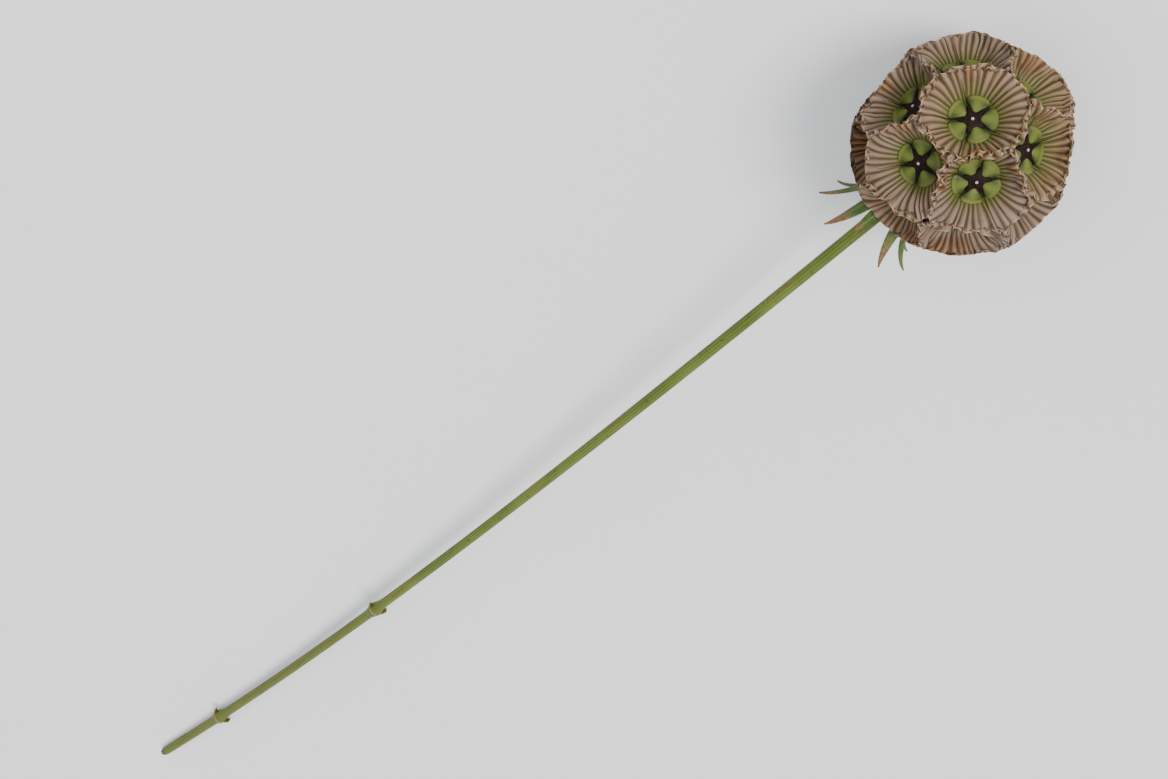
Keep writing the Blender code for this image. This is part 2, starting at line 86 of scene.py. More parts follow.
# The bowls that the florets are bent into.
THROAT_RADIUS = 0.0049
THROAT_HEIGHT = 0.0173
COLLAR_LENGTH = 0.0066
COLLAR_SLOPE = (math.radians(52.0), math.radians(22.0))
TOP_RANK_LIFT = 0.0006
NEIGHBOUR_ANGLE = math.radians(75.0)
LEAN_FROM = 0.0195  # from the middle of the head
LEAN_SHIFT = 0.0022
CREST_WAVE = 0.0005
CREST_WAVE_LENGTH = 0.0052
WALL_CLEARANCE = 0.00036
SETTLE_ROUNDS = 3
PAPER_STEPS = 48
PAPER_SIDES = 408
PAPER_REACH = 1.6  # how far the paper is worked out, in collar lengths
PAPER_SHARES = np.arange(PAPER_STEPS + 1) * (PAPER_REACH / PAPER_STEPS)
PAPER_ANGLES = np.arange(PAPER_SIDES) * (math.tau / PAPER_SIDES)
LENGTH_BY_RANK = (0.98, 1.10)  # of the lowest and the highest collar
LENGTH_WAVE = 0.03
LENGTH_JAG = 0.02
CORNER_ROUNDING = 0.06  # radians round the collar
CORNER_LENGTH = 0.34  # more length at most where a collar runs out into a corner
CORNER_GAIN = 2.6
PRESSED_SPAN = (1.02, 0.88)  # how far out a pressed rim reaches, of the median
GLOBE_RADIUS = 0.0243  # past which the rims are pressed back
GLOBE_HOLD = 0.65  # of the part that stands out
RIM_CURL = 0.0011
RIM_CURL_LEAST = 0.25
RIM_CURL_SPAN = (0.72, 1.25)  # in collar lengths
RIM_FLUTTER = 0.00025
BROAD_WAVES = (2, 8)  # turns of a wave round a collar
FLUTTER_WAVES = (4, 8)
RIB_WAVES = (9, 21)
WAVE_SIZES = (0.3, 1.0)
RIB_WANDER = 0.035  # radians that a rib strays round the collar on its way to the rim
RIB_JITTER = 0.018  # radians by which the ribs stand unevenly
RIB_UNEVEN = 0.35  # of their height
RIB_UNEVEN_SPAN = (0.0, 0.35)  # in collar lengths, over which the ribs get uneven
THROAT_EDGE = (0.75, 1.35)  # of the throat's radius, over which its floor turns into the collar
FLOOR_GAP = 0.00002
FLOOR_PRESS = 0.0004  # the height below which paper gives way to the floor
NEAR = 0.000005  # within which a place counts as on a ring
NUDGE = 1e-7

# The flat floret.
RIBS = 38
RIB_PROFILE = (1.0, 0.6, -0.4, -1.0, -0.4, 0.6)  # crest, flank, flank, vein, flank, flank
VEIN_SIDE = 3
COLLAR_ROWS = (0.06, 0.14, 0.23, 0.33, 0.43, 0.53, 0.63, 0.72, 0.80, 0.87, 0.93, 0.97, 1.0)
PLEAT_HEIGHT = 0.00030
PLEAT_GROWTH = 0.6  # the power with which the pleats rise towards the rim
TOOTH_LENGTH = 0.00022
PAPER_THICKNESS = 0.00013
FLOOR_ROWS = (0.7, 0.35)
POINTS = 5
CUSHION_MIDDLE = 0.0036
CUSHION_SIZE = (0.0040, 0.0058, 0.0019)
CUSHION_SHAPE = ((0.42, 0.8), (0.78, 1.0), (0.98, 1.0), (0.72, 0.62))  # width and height, outward
CUSHION_WRAP = 0.8  # how far it is curved round the middle
STAR_TIP = 0.0031
STAR_NOTCH = 0.0016
STAR_TIERS = ((0.0006, 1.08), (0.00026, 0.84))  # height, and width over that of the tier below
STAR_CROWN = 0.00026
STAR_BEVEL = {"width": 0.00009, "segments": 2}
BOSS_GRID = {"segments": 12, "ring_count": 7}
BOSS_RADIUS = 0.00036
BOSS_HEIGHT = 0.6  # of its radius
AWN_START = 0.0020
AWN_LENGTH = 0.0072
AWN_RADIUS = 0.00022
AWN_TIP = 0.16  # of the radius at its foot
AWN_TAPER = 0.6
AWN_SIDES = 5
AWN_ROWS = 14
AWN_HEIGHTS = ((0.0, 0.15, 0.4, 0.65, 1.0), (0.00062, 0.00076, 0.00092, 0.00060, 0.00050))
LAY_ALONG = 0.05  # how much slower patterns run along the ribs than round the collar

# The seed tubes under the collars, as radius and height above the middle of the head.
TUBE_RINGS = (
    (0.00485, 0.01725),
    (0.0048, 0.0164),
    (0.0046, 0.0150),
    (0.0042, 0.0135),
    (0.0037, 0.0117),
    (0.0031, 0.0099),
    (0.0026, 0.0083),
)
TUBE_SIDES = 32
TUBE_REPEAT = 4
TUBE_FLUTES = ((0, 1.05), (2, 0.9))  # two sides of each repeat, and how far out they stand
TUFT_SEED = 12
TUBE_HAIRS = 60
HAIR_SEED = 14
HAIR_FEET = (0.0095, 0.0157)
HAIR_LEAN = (1.0, 1.45)
HAIR_LENGTH = (0.0020, 0.0052)
HAIR_RADIUS = 0.000035
HAIR_STEPS = 4
HAIR_TAPER = 0.75
HAIR_SIDES = 3
HAIR_BEND = math.radians(5.0)
CORE_RADIUS = 0.009
CORE_BUMP = 0.0004
CORE_CUTS = 4

# The bracts under the head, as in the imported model.
BRACTS = 9
BRACT_RINGS = (  # turn in steps, foot's radius, lean, length, curl, width factor
    (0.0, 0.0026, math.radians(20.0), 0.024, math.radians(120.0), 1.0),
    (0.5, 0.0033, math.radians(22.0), 0.0135, math.radians(30.0), 1.35),
)
BRACT_SEED = 12
BRACT_DETAIL_SEED = 13
BRACT_FOOT = 0.0099  # below the middle of the head
BRACT_SCATTER = 0.12
BRACT_CURL_RANGE = (0.35, 1.3)
BRACT_LENGTH_RANGE = (0.85, 1.15)
BRACT_BEND_FROM = 0.5
BRACT_BEND_POWER = 1.5
BRACT_BEND_STEPS = 80
BRACT_TWIST = math.radians(22.0)
BRACT_SWAY = 0.0022
BRACT_ROWS = 30
BRACT_COLUMNS = 8
BRACT_WIDTH = 0.0034
BRACT_FOOT_SHARE = 0.25  # of the half turn of sine that gives the outline
BRACT_BELLY = 1.1  # above 1, the widest place moves outward
BRACT_FULLNESS = 0.8  # below 1, the outline is fuller
BRACT_TIP_WIDTH = 0.10
BRACT_TIP_POWER = 6
BRACT_POINT = 0.00012
BRACT_FOLD = 0.24  # rise on the way from the midrib to the edge
BRACT_MIDRIB = (0.00018, 0.00022)  # height and half width
BRACT_THICKNESS = 0.0004
CUP_SIDES = 36
CUP_RINGS = ((0.0033, 0.00935), (0.0041, 0.0097), (0.0041, 0.0102), (0.0033, 0.0106), (0.0025, 0.01074))
CUP_NOTES = {"along": 0.0, "across": 1.0, "tint": 0.3}  # as the foot of a bract, at its edge

# The stem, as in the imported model.
STEM_START = 0.0108
STEM_REACH = 0.452
STEM_END_OFFSET = 0.016
STEM_END_SLOPE = math.radians(1.2)
STEM_END_TURN = math.radians(5.0)
STEM_END_DEPTH = 0.84  # how high its middle lies there, in radii
STEM_PULL = 0.15  # how far each end of the line runs on before it bends
STEM_RADII = ((0.0, 0.02, 0.45, 1.0), (0.0024, 0.00150, 0.00150, 0.00185))
STEM_END_RADIUS = STEM_RADII[1][-1]
STEM_SIDES = 48
STEM_RIDGES = 12
STEM_RIDGE = 0.045
STEM_STEP = 0.0032
STEM_SPARE = 1.02  # so much longer before it is cut
STEM_NODES = (0.60, 0.885)
NODE_LENGTH = 0.0033
NODE_SWELLS = ((0.5, NODE_LENGTH), (0.09, 0.0006))  # joint and narrow ring: of the radius, length
NODE_STEP = 0.0004
NODE_SPAN = 0.0086  # on each side of a joint, with rings close together
STUB_SIZE = (0.0028, 0.0009, 0.0042)
STUB_TURNS = (math.radians(145.0), math.radians(165.0))  # round each joint, from aside to up
STUB_CUTS = 5
STUB_TAPER = ((0.3, 0.8, 0.7), (0.45, 0.8, 0.6))  # from how far out, and how much narrower and thinner
STUB_LIFT = ((0.0, 0.55, 1.0), (0.62, 0.95, 1.3))  # along it, in radii of the joint
STUB_CLASP = 1.25  # radii of the joint, to which it is curved
STUB_TEAR = 0.000315  # how deep its ragged end is
STUB_TEETH = 5200.0  # radians a metre across
STUB_NOTES = {"along": 0.6, "ridge": 0.0, "off_middle": 1.0, "past_joint": -2.0}
TORN_SPAN = (0.8, 1.0)  # along it, over which its end gets ragged
CUT_SLANT = 0.0016
CUT_RINGS = ((0.00022, 0.0), (0.0005, 0.0003))  # width and depth of the rind and of the pith's edge
CUT_FACING = 0.5  # how squarely a face of the cut looks along the stem, at least

# The floor, the lights and the camera.
FLOOR_SIZE = 60.0
WINDOW_FROM = (0.62, -0.45, 0.75)
WINDOW_LIGHT = 3.2
WINDOW_SOFTNESS = math.radians(24.0)
DAYLIGHT = 1.05
DAYLIGHT_COLOUR = (0.95, 0.97, 1.0, 1.0)
CAMERA_DISTANCE = 0.32
CAMERA_LENS = 42.0
CAMERA_NEAR = 0.01
CAMERA_ROLL = math.radians(-50.0)
CAMERA_AIM = 0.29  # of the way from the head to the cut end
CAMERA_ASIDE = np.array((0.0, 0.01, 0.0))
CUT_END = np.array((-0.239, 0.0158, 0.0016))


def unit(vectors):
    """The vectors at length one."""
    return vectors / np.linalg.norm(vectors, axis=-1, keepdims=True)


def polar(points):
    """How far points lie from the upright axis, and their azimuths."""
    return np.hypot(points[:, 0], points[:, 1]), np.arctan2(points[:, 1], points[:, 0])


def smooth_step(values, low, high):
    """0 below low, 1 above high, and smooth between."""
    share = np.clip((np.asarray(values, float) - low) / (high - low), 0.0, 1.0)
    return share * share * (3.0 - 2.0 * share)


def above_floor(points):
    """Lifts points that would sink into the floor."""
    points[:, 2] = np.clip(points[:, 2], FLOOR_GAP, None)
    return points


def pressed_on_floor(points):
    """Lets paper near the floor give way to it, with its two faces still one above the other."""
    low = points[:, 2] < FLOOR_PRESS
    points[low, 2] = FLOOR_PRESS * np.exp(points[low, 2] / FLOOR_PRESS - 1.0)
    return points


def across_directions(axis, roll):
    """Two directions square to an axis and to each other, turned by roll."""
    first = unit(np.cross(axis, ASIDE))
    second = np.cross(axis, first)
    return (
        math.cos(roll) * first + math.sin(roll) * second,
        math.cos(roll) * second - math.sin(roll) * first,
    )


# The layout of the head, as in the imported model.


def seen_axes():
    """The axes of the florets in SEEN_STARS, and of the one that the head rests on."""
    right, up, _ = np.array(SEEN_STARS).T / STAR_DEPTH
    nearer = np.sqrt(1.0 - right * right - up * up)
    axes = np.outer(right, VIEW_RIGHT) + np.outer(up, VIEW_UP) + np.outer(nearer, VIEW)
    return [*axes, np.array((0.0, 0.0, -1.0))]


def spread_evenly(axes, seen):
    """Pushes the florets apart until they cover the globe evenly. The one under the head stays."""
    axes = np.array(axes)
    home = axes.copy()
    for _ in range(SPREAD_ROUNDS):
        apart = axes[:, None, :] - axes[None, :, :]
        distance = np.linalg.norm(apart, axis=2) + np.eye(len(axes))
        push = SPREAD_RATE * (apart / distance[..., None] ** SPREAD_POWER).sum(axis=1)
        push[:seen] += HOLD * (home[:seen] - axes[:seen])
        push[seen] = 0.0
        axes = unit(axes + push)
        for k, axis in enumerate(axes):
            to_stem = axis @ STEMWARD
            if to_stem > math.cos(CLEAR_OF_STEM):
                aside = unit(axis - to_stem * STEMWARD)
                axes[k] = math.sin(CLEAR_OF_STEM) * aside + math.cos(CLEAR_OF_STEM) * STEMWARD
    return axes


def floret_axes():
    """The directions of all florets: the seen ones, then each next one where most room is left."""
    axes = seen_axes()
    z = 1.0 - (2.0 * np.arange(CANDIDATES) + 1.0) / CANDIDATES
    turn = np.arange(CANDIDATES) * GOLDEN_ANGLE
    side = np.sqrt(1.0 - z * z)
    candidates = np.stack((side * np.cos(turn), side * np.sin(turn), z), axis=1)
    candidates = candidates[candidates @ STEMWARD < math.cos(CLEAR_OF_STEM)]
    while len(axes) < FLORETS:
        nearest = (candidates @ np.array(axes).T).max(axis=1)
        axes.append(candidates[int(np.argmin(nearest))])
    return spread_evenly(axes, len(SEEN_STARS))


class Wall:
    """The surface on which two neighbouring collars press, wavy and leaning over the lower one."""

    def __init__(self, first, second, lean, phase):
        self.across = unit(second - first)
        self.out = unit(first + second)
        self.along = np.cross(self.across, self.out)
        self.lean = lean
        self.phase = phase

    def past(self, points, side):
        """How far points lie past the wall for the first (side 1) or second (side -1) collar."""
        rise = (points @ self.out - LEAN_FROM) / (HEAD_RADIUS - LEAN_FROM)
        wave = CREST_WAVE * np.sin(points @ self.along * (math.tau / CREST_WAVE_LENGTH) + self.phase)
        shift = np.clip(rise, 0.0, None) * (self.lean * LEAN_SHIFT + wave)
        return side * (points @ self.across - shift) + WALL_CLEARANCE


def collar_walls(axes, ranks, draw):
    """For each floret its walls as (wall, side), with one that keeps it clear of the stem."""
    walls = [[] for _ in axes]
    for i in range(len(axes)):
        for j in range(i + 1, len(axes)):
            if axes[i] @ axes[j] > math.cos(NEIGHBOUR_ANGLE):
                wall = Wall(axes[i], axes[j], ranks[i] - ranks[j], draw.uniform(0.0, math.tau))
                walls[i].append((wall, 1.0))
                walls[j].append((wall, -1.0))
        walls[i].append((Wall(axes[i], STEMWARD, 0.0, 0.0), 1.0))
    return walls


def keep_inside(points, walls):
    """Moves points that lie past a wall back onto it."""
    for _ in range(SETTLE_ROUNDS):
        for wall, side in walls:
            past = np.clip(wall.past(points, side), 0.0, None)
            points = points - side * past[..., None] * wall.across
    return points


def between(grid, row, column):
    """A grid's values between its rows and between its columns, which go all the way round."""
    low = row.astype(int)
    left = column.astype(int)
    up = (row - low)[:, None]
    over = (column - left)[:, None]
    right = (left + 1) % PAPER_SIDES
    left = left % PAPER_SIDES
    bottom = grid[low, left] * (1.0 - over) + grid[low, right] * over
    top = grid[low + 1, left] * (1.0 - over) + grid[low + 1, right] * over
    return bottom * (1.0 - up) + top * up


class Bowl:
    """The surface that one floret's paper follows, from the middle of its throat to its rim."""

    def __init__(self, axis, roll, rank, walls, draw):
        self.axis = axis
        self.height = THROAT_HEIGHT + TOP_RANK_LIFT * rank
        self.length = np.interp(rank, (0.0, 1.0), LENGTH_BY_RANK)
        self.waves = [
            (turns, draw.uniform(0.0, math.tau), draw.uniform(*WAVE_SIZES))
            for turns in range(BROAD_WAVES[0], RIB_WAVES[1] + 1)
        ]
        first, second = across_directions(axis, roll)
        out = np.outer(np.cos(PAPER_ANGLES), first) + np.outer(np.sin(PAPER_ANGLES), second)
        self.paper = self.grow(out, walls)
        reach = self.rim_reach()
        self.longer = np.clip((reach - 1.0) * CORNER_GAIN, 0.0, CORNER_LENGTH)
        self.pressed = smooth_step(reach, *PRESSED_SPAN)
        self.curl_rim(rank)
        self.normals = self.facing()

    def grow(self, out, walls):
        """Lets the paper grow from the throat outward, as free as the walls leave it."""
        points = keep_inside(THROAT_RADIUS * out + self.height * self.axis, walls)
        rows = [points]
        step = COLLAR_LENGTH * PAPER_REACH / PAPER_STEPS
        for share in PAPER_SHARES[:-1]:
            slope = np.interp(share, (0.0, 1.0), COLLAR_SLOPE)
            heading = math.cos(slope) * out + math.sin(slope) * self.axis
            for _ in range(SETTLE_ROUNDS):
                moved = keep_inside(points + step * heading, walls)
                heading = unit(moved - points + NUDGE * self.axis)
            points = keep_inside(points + step * heading, walls)
            rows.append(points)
        spectrum = np.fft.rfft(np.array(rows), axis=1)
        turns = np.arange(spectrum.shape[1])[None, :, None]
        rounded = spectrum * np.exp(-0.5 * (turns * CORNER_ROUNDING) ** 2)
        return np.fft.irfft(rounded, n=PAPER_SIDES, axis=1)

    def rim_reach(self):
        """How far from the axis the rim is at each side: less where pressed, more at a corner."""
        rim = self.paper[round(PAPER_STEPS / PAPER_REACH)]
        away = np.linalg.norm(rim - np.outer(rim @ self.axis, self.axis), axis=1)
        return away / np.median(away)

    def around(self, azimuth, values):
        """Values of the paper's sides, at any azimuth."""
        return np.interp(azimuth, PAPER_ANGLES, values, period=math.tau)

    def facing(self):
        """The paper's normals, into the bowl."""
        up = np.gradient(self.paper, axis=0)
        around = np.roll(self.paper, -1, axis=1) - np.roll(self.paper, 1, axis=1)
        normals = unit(np.cross(up, around))
        return normals * np.sign((normals @ self.axis).mean())

    def wave(self, azimuth, turns):
        """A random wave round the collar, mostly from -1 to 1, of so many turns."""
        chosen = [part for part in self.waves if turns[0] <= part[0] <= turns[1]]
        total = math.sqrt(sum(size * size for _, _, size in chosen))
        return sum(size * np.cos(n * azimuth + phase) for n, phase, size in chosen) / total

    def curl_rim(self, rank):
        """Curls the rim outward, most on the highest collars, and lets it flutter."""
        curl = RIM_CURL * (RIM_CURL_LEAST + rank) + RIM_FLUTTER * self.wave(PAPER_ANGLES, FLUTTER_WAVES)
        curl = np.outer(smooth_step(PAPER_SHARES, *RIM_CURL_SPAN), curl)
        self.paper = self.paper - curl[..., None] * self.facing()

    def bend(self, flat):
        """Where points of the flat floret come to lie: x and y across the paper, z above it."""
        radius, azimuth = polar(flat)
        radius = radius / THROAT_RADIUS
        share = np.clip(radius - 1.0, 0.0, None) * THROAT_RADIUS / COLLAR_LENGTH
        uneven = self.wave(azimuth, RIB_WAVES)
        length = 1.0 + self.around(azimuth, self.longer)
        length += LENGTH_WAVE * self.wave(azimuth, BROAD_WAVES) + LENGTH_JAG * uneven
        stray = RIB_WANDER * share * self.wave(azimuth, FLUTTER_WAVES)
        uneven *= smooth_step(share, *RIB_UNEVEN_SPAN)
        row = share * self.length * length * PAPER_STEPS / PAPER_REACH
        row = np.clip(row, 0.0, PAPER_STEPS - NUDGE)
        column = (azimuth + stray + RIB_JITTER * uneven) % math.tau / math.tau * PAPER_SIDES
        inside = np.clip(radius, 0.0, 1.0)[:, None]
        middle = self.height * self.axis
        base = middle + inside * (between(self.paper, row, column) - middle)
        to_paper = smooth_step(radius, *THROAT_EDGE)[:, None]
        facing = between(self.normals, row, column)
        normal = unit(self.axis * (1.0 - to_paper) + facing * to_paper)
        placed = base + (flat[:, 2] * (1.0 + RIB_UNEVEN * uneven))[:, None] * normal
        reach = np.linalg.norm(placed, axis=1, keepdims=True)
        past = np.clip(reach - GLOBE_RADIUS, 0.0, None) / reach
        return pressed_on_floor(placed * (1.0 - GLOBE_HOLD * past) + HEAD_CENTRE)


# Modelling by hand: a primitive is added, then shaped in edit mode.


def named(piece, name):
    """Names a piece and its mesh."""
    piece.name = name
    piece.data.name = name
    return piece


def start_piece(name, add, **size):
    """Adds a primitive with nothing else selected, and opens it for editing."""
    bpy.ops.object.select_all(action="DESELECT")
    add(**size)
    bpy.ops.object.transform_apply(location=True, rotation=True, scale=True)
    bpy.ops.object.mode_set(mode="EDIT")
    bpy.ops.mesh.select_mode(type="VERT")
    return named(bpy.context.object, name)


def close_piece():
    """Ends the editing."""
    bpy.ops.object.mode_set(mode="OBJECT")


def select_where(piece, test):
    """Selects the vertices that pass a test of their place, with the edges and faces between them."""
    edit = bmesh.from_edit_mesh(piece.data)
    for vertex in edit.verts:
        vertex.select = test(vertex.co)
    edit.select_flush_mode()
    bmesh.update_edit_mesh(piece.data)


def side_of(place, sides, repeat):
    """Which side of a ring a place is at, counted within each repeat of so many sides."""
    return round(math.atan2(place.y, place.x) / math.tau * sides) % repeat


def face_outward():
    """Turns all faces outward, and leaves them selected."""
    bpy.ops.mesh.select_all(action="SELECT")
    bpy.ops.mesh.normals_make_consistent(inside=False)


def grow_ring(factor, along=0.0):
    """Extrudes the selected ring of edges, and scales and moves the new ring."""
    bpy.ops.mesh.extrude_edges_indiv()
    bpy.ops.transform.resize(value=(factor, factor, 1.0))
    if along:
        bpy.ops.transform.translate(value=(0.0, 0.0, along))


def stack_rings(name, sides, rings):
    """A closed tube through rings, each a radius and a height, open for editing."""
    (radius, height), *others = rings
    size = {"vertices": sides, "radius": radius, "location": (0.0, 0.0, height)}
    tube = start_piece(name, bpy.ops.mesh.primitive_circle_add, **size)
    for wider, higher in others:
        grow_ring(wider / radius, higher - height)
        radius, height = wider, higher
    bpy.ops.mesh.select_all(action="SELECT")
    bpy.ops.mesh.fill_holes(sides=0)
    face_outward()
    return tube


def start_block(name, size, cuts):
    """A block of a size, with its faces cut evenly, open for editing."""
    block = start_piece(name, bpy.ops.mesh.primitive_cube_add, size=1.0)
    bpy.ops.transform.resize(value=size)
    bpy.ops.mesh.subdivide(number_cuts=cuts)
    return block


def apply_modifier(piece, kind, **settings):
    """Adds a modifier to a piece and applies it."""
    bpy.ops.object.select_all(action="DESELECT")
    piece.select_set(True)
    bpy.context.view_layer.objects.active = piece
    modifier = piece.modifiers.new(kind.lower(), kind)
    for name, value in settings.items():
        setattr(modifier, name, value)
    bpy.ops.object.modifier_apply(modifier=modifier.name)


def dress(piece, *finishes):
    """Smooths a piece and gives it its finishes."""
    piece.data.shade_smooth()
    for finish in finishes:
        piece.data.materials.append(finish)
    return piece


def read_points(piece):
    """The places of a piece's vertices."""
    points = np.empty(len(piece.data.vertices) * 3)
    piece.data.vertices.foreach_get("co", points)
    return points.reshape(-1, 3)


def write_points(piece, points):
    """Moves a piece's vertices."""
    piece.data.vertices.foreach_set("co", np.ascontiguousarray(points, dtype=float).ravel())
    piece.data.update()


def note(piece, **numbers):
    """Stores numbers for each vertex, for the piece's material to read."""
    for name, values in numbers.items():
        layer = piece.data.attributes.new(name, "FLOAT", "POINT")
        values = np.broadcast_to(np.asarray(values, dtype=np.float32), len(piece.data.vertices))
        layer.data.foreach_set("value", np.ascontiguousarray(values))


def note_place(piece, name, places):
    """Stores a place for each vertex, for patterns that follow the piece's own surface."""
    layer = piece.data.attributes.new(name, "FLOAT_VECTOR", "POINT")
    layer.data.foreach_set("vector", np.ascontiguousarray(places, dtype=np.float32).ravel())


def copy_of(piece, name):
    """A copy with its own mesh."""
    copy = piece.copy()
    copy.data = piece.data.copy()
    bpy.context.scene.collection.objects.link(copy)
    return named(copy, name)


def join_pieces(pieces, name):
    """Joins pieces into one."""
    bpy.ops.object.select_all(action="DESELECT")
    for piece in pieces:
        piece.select_set(True)
    bpy.context.view_layer.objects.active = pieces[0]
    bpy.ops.object.join()
    return named(bpy.context.object, name)


def turned_copies(piece, count, first=0.0):
    """Copies of a piece round the upright axis, which take its place."""
    copies = []
    for k in range(count):
        copy = copy_of(piece, f"{piece.name}_{k}")
        copy.data.transform(Matrix.Rotation(first + math.tau * k / count, 4, "Z"))
        copies.append(copy)
    bpy.data.objects.remove(piece)
    return copies


# The flat floret, piece by piece.


def rib_side(place):
    """Which point of RIB_PROFILE a place on the collar is at."""
    return side_of(place, RIBS * len(RIB_PROFILE), len(RIB_PROFILE))


def flat_collar(paper):
    """The pleated paper, laid flat, from the middle of the throat to the rim."""
    size = {"vertices": RIBS * len(RIB_PROFILE), "radius": THROAT_RADIUS}
    collar = start_piece("collar", bpy.ops.mesh.primitive_circle_add, **size)
    radius = THROAT_RADIUS
    height = 0.0
    for share in COLLAR_ROWS:
        outer = THROAT_RADIUS + share * COLLAR_LENGTH
        grow_ring(outer / radius)
        radius = outer
        rise = PLEAT_HEIGHT * share**PLEAT_GROWTH - height
        height += rise
        for side, depth in enumerate(RIB_PROFILE):
            select_where(collar, lambda p: p.xy.length > radius - NEAR and rib_side(p) == side)
            bpy.ops.transform.translate(value=(0.0, 0.0, rise * depth))
        select_where(collar, lambda p: p.xy.length > radius - NEAR)
    tooth = 1.0 + TOOTH_LENGTH / radius
    select_where(collar, lambda p: p.xy.length > radius - NEAR and rib_side(p) == VEIN_SIDE)
    bpy.ops.transform.resize(value=(tooth, tooth, 1.0))
    select_where(collar, lambda p: p.xy.length < THROAT_RADIUS + NEAR)
    inner = 1.0
    for share in FLOOR_ROWS:
        grow_ring(share / inner)
        inner = share
    bpy.ops.mesh.extrude_edges_indiv()
    bpy.ops.mesh.merge(type="CENTER")
    face_outward()
    close_piece()
    apply_modifier(collar, "SOLIDIFY", thickness=PAPER_THICKNESS, offset=0.0)
    return dress(collar, paper)


def flat_cushion(green):
    """One plump green lobe between two arms of the star, narrow towards the middle."""
    gaps = len(CUSHION_SHAPE) - 1
    cushion = start_block("cushion", CUSHION_SIZE, gaps - 1)
    for row, (wide, high) in enumerate(CUSHION_SHAPE):
        x = (row / gaps - 0.5) * CUSHION_SIZE[0]
        select_where(cushion, lambda p: abs(p.x - x) < NEAR)
        bpy.ops.transform.resize(value=(1.0, wide, high))
    bpy.ops.mesh.select_all(action="SELECT")
    bpy.ops.transform.translate(value=(CUSHION_MIDDLE, 0.0, 0.0))
    close_piece()
    apply_modifier(cushion, "SUBSURF", levels=1, render_levels=1)
    points = read_points(cushion)
    turn = CUSHION_WRAP * points[:, 1] / CUSHION_MIDDLE
    points[:, :2] = points[:, :1] * np.stack((np.cos(turn), np.sin(turn)), axis=1)
    write_points(cushion, points)
    return dress(cushion, green)


def flat_star(dark):
    """The dark star, ridged along its arms."""
    sides = 2 * POINTS
    size = {"vertices": sides, "radius": STAR_TIP, "rotation": (0.0, 0.0, -math.pi / sides)}
    star = start_piece("star", bpy.ops.mesh.primitive_circle_add, fill_type="NGON", **size)
    notch = STAR_NOTCH / STAR_TIP
    select_where(star, lambda p: side_of(p, sides, 2) == 1)
    bpy.ops.transform.resize(value=(notch, notch, 1.0))
    bpy.ops.mesh.select_all(action="SELECT")
    for rise, factor in STAR_TIERS:
        bpy.ops.mesh.extrude_region_move(TRANSFORM_OT_translate={"value": (0.0, 0.0, rise)})
        bpy.ops.transform.resize(value=(factor, factor, 1.0))
    bpy.ops.mesh.poke(offset=STAR_CROWN)
    face_outward()
    close_piece()
    apply_modifier(star, "BEVEL", **STAR_BEVEL)
    return dress(star, dark)


def flat_boss(pale):
    """The pale dot in the middle of the star."""
    boss = start_piece("boss", bpy.ops.mesh.primitive_uv_sphere_add, radius=BOSS_RADIUS, **BOSS_GRID)
    bpy.ops.transform.resize(value=(1.0, 1.0, BOSS_HEIGHT))
    top = sum(rise for rise, _ in STAR_TIERS) + STAR_CROWN
    bpy.ops.transform.translate(value=(0.0, 0.0, top))
    close_piece()
    return dress(boss, pale)


def flat_awn(dark):
    """The bristle that each arm of the star ends in, which lies up the collar."""
    rings = []
    for share in np.linspace(0.0, 1.0, AWN_ROWS + 1):
        narrower = 1.0 - (1.0 - AWN_TIP) * share**AWN_TAPER
        rings.append((AWN_RADIUS * narrower, AWN_LENGTH * share))
    awn = stack_rings("awn", AWN_SIDES, rings)
    close_piece()
    points = read_points(awn)
    height = np.interp(points[:, 2] / AWN_LENGTH, *AWN_HEIGHTS)
    lying = np.stack((AWN_START + points[:, 2], points[:, 1], height - points[:, 0]), axis=1)
    write_points(awn, lying)
    return dress(awn, dark)


def flat_floret():
    """One whole floret, laid flat, with notes on where each vertex lies."""
    dark = star_finish()
    parts = [
        flat_collar(collar_finish()),
        *turned_copies(flat_cushion(cushion_finish()), POINTS, math.pi / POINTS),
        flat_star(dark),
        flat_boss(boss_finish()),
        *turned_copies(flat_awn(dark), POINTS),
    ]
    floret = join_pieces(parts, "flat_floret")
    radius, azimuth = polar(read_points(floret))
    along = (radius - THROAT_RADIUS) / COLLAR_LENGTH
    note(floret, along=along, rib=np.cos(RIBS * azimuth), sector=np.cos(POINTS * azimuth))
    note_place(floret, "lay", np.stack((np.cos(azimuth), np.sin(azimuth), along * LAY_ALONG), axis=1))
    return floret


def place_florets(axes):
    """All florets, each bent into its own bowl."""
    draw = random.Random(SEED)
    ranks = [rank for _, _, rank in SEEN_STARS]
    ranks += [draw.uniform(0.0, 1.0) for _ in range(FLORETS - len(ranks))]
    rolls = [draw.uniform(0.0, math.tau) for _ in axes]
    walls = collar_walls(axes, ranks, draw)
    master = flat_floret()
    flat = read_points(master)
    azimuth = polar(flat)[1]
    for k, axis in enumerate(axes):
        bowl = Bowl(axis, rolls[k], ranks[k], walls[k], draw)
        floret = copy_of(master, f"floret_{k + 1:02d}")
        write_points(floret, bowl.bend(flat))
        note(floret, pressed=bowl.around(azimuth, bowl.pressed))
        note(floret, tint=draw.uniform(0.0, 1.0), greenness=draw.uniform(0.0, 1.0))
        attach(floret, "root")
        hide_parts("seed_head")
    bpy.data.objects.remove(master)


# What the florets grow from.


def one_for_each_axis(piece, name, axes, draw):
    """Copies of an upright piece, one for each floret, turned differently each time and joined."""
    shape = read_points(piece)
    copies = []
    for k, axis in enumerate(axes):
        first, second = across_directions(axis, draw.uniform(0.0, math.tau))
        copy = copy_of(piece, f"{piece.name}_{k}")
        write_points(copy, pressed_on_floor(shape @ np.array((first, second, axis)) + HEAD_CENTRE))
        copies.append(copy)
    bpy.data.objects.remove(piece)
    return join_pieces(copies, name)


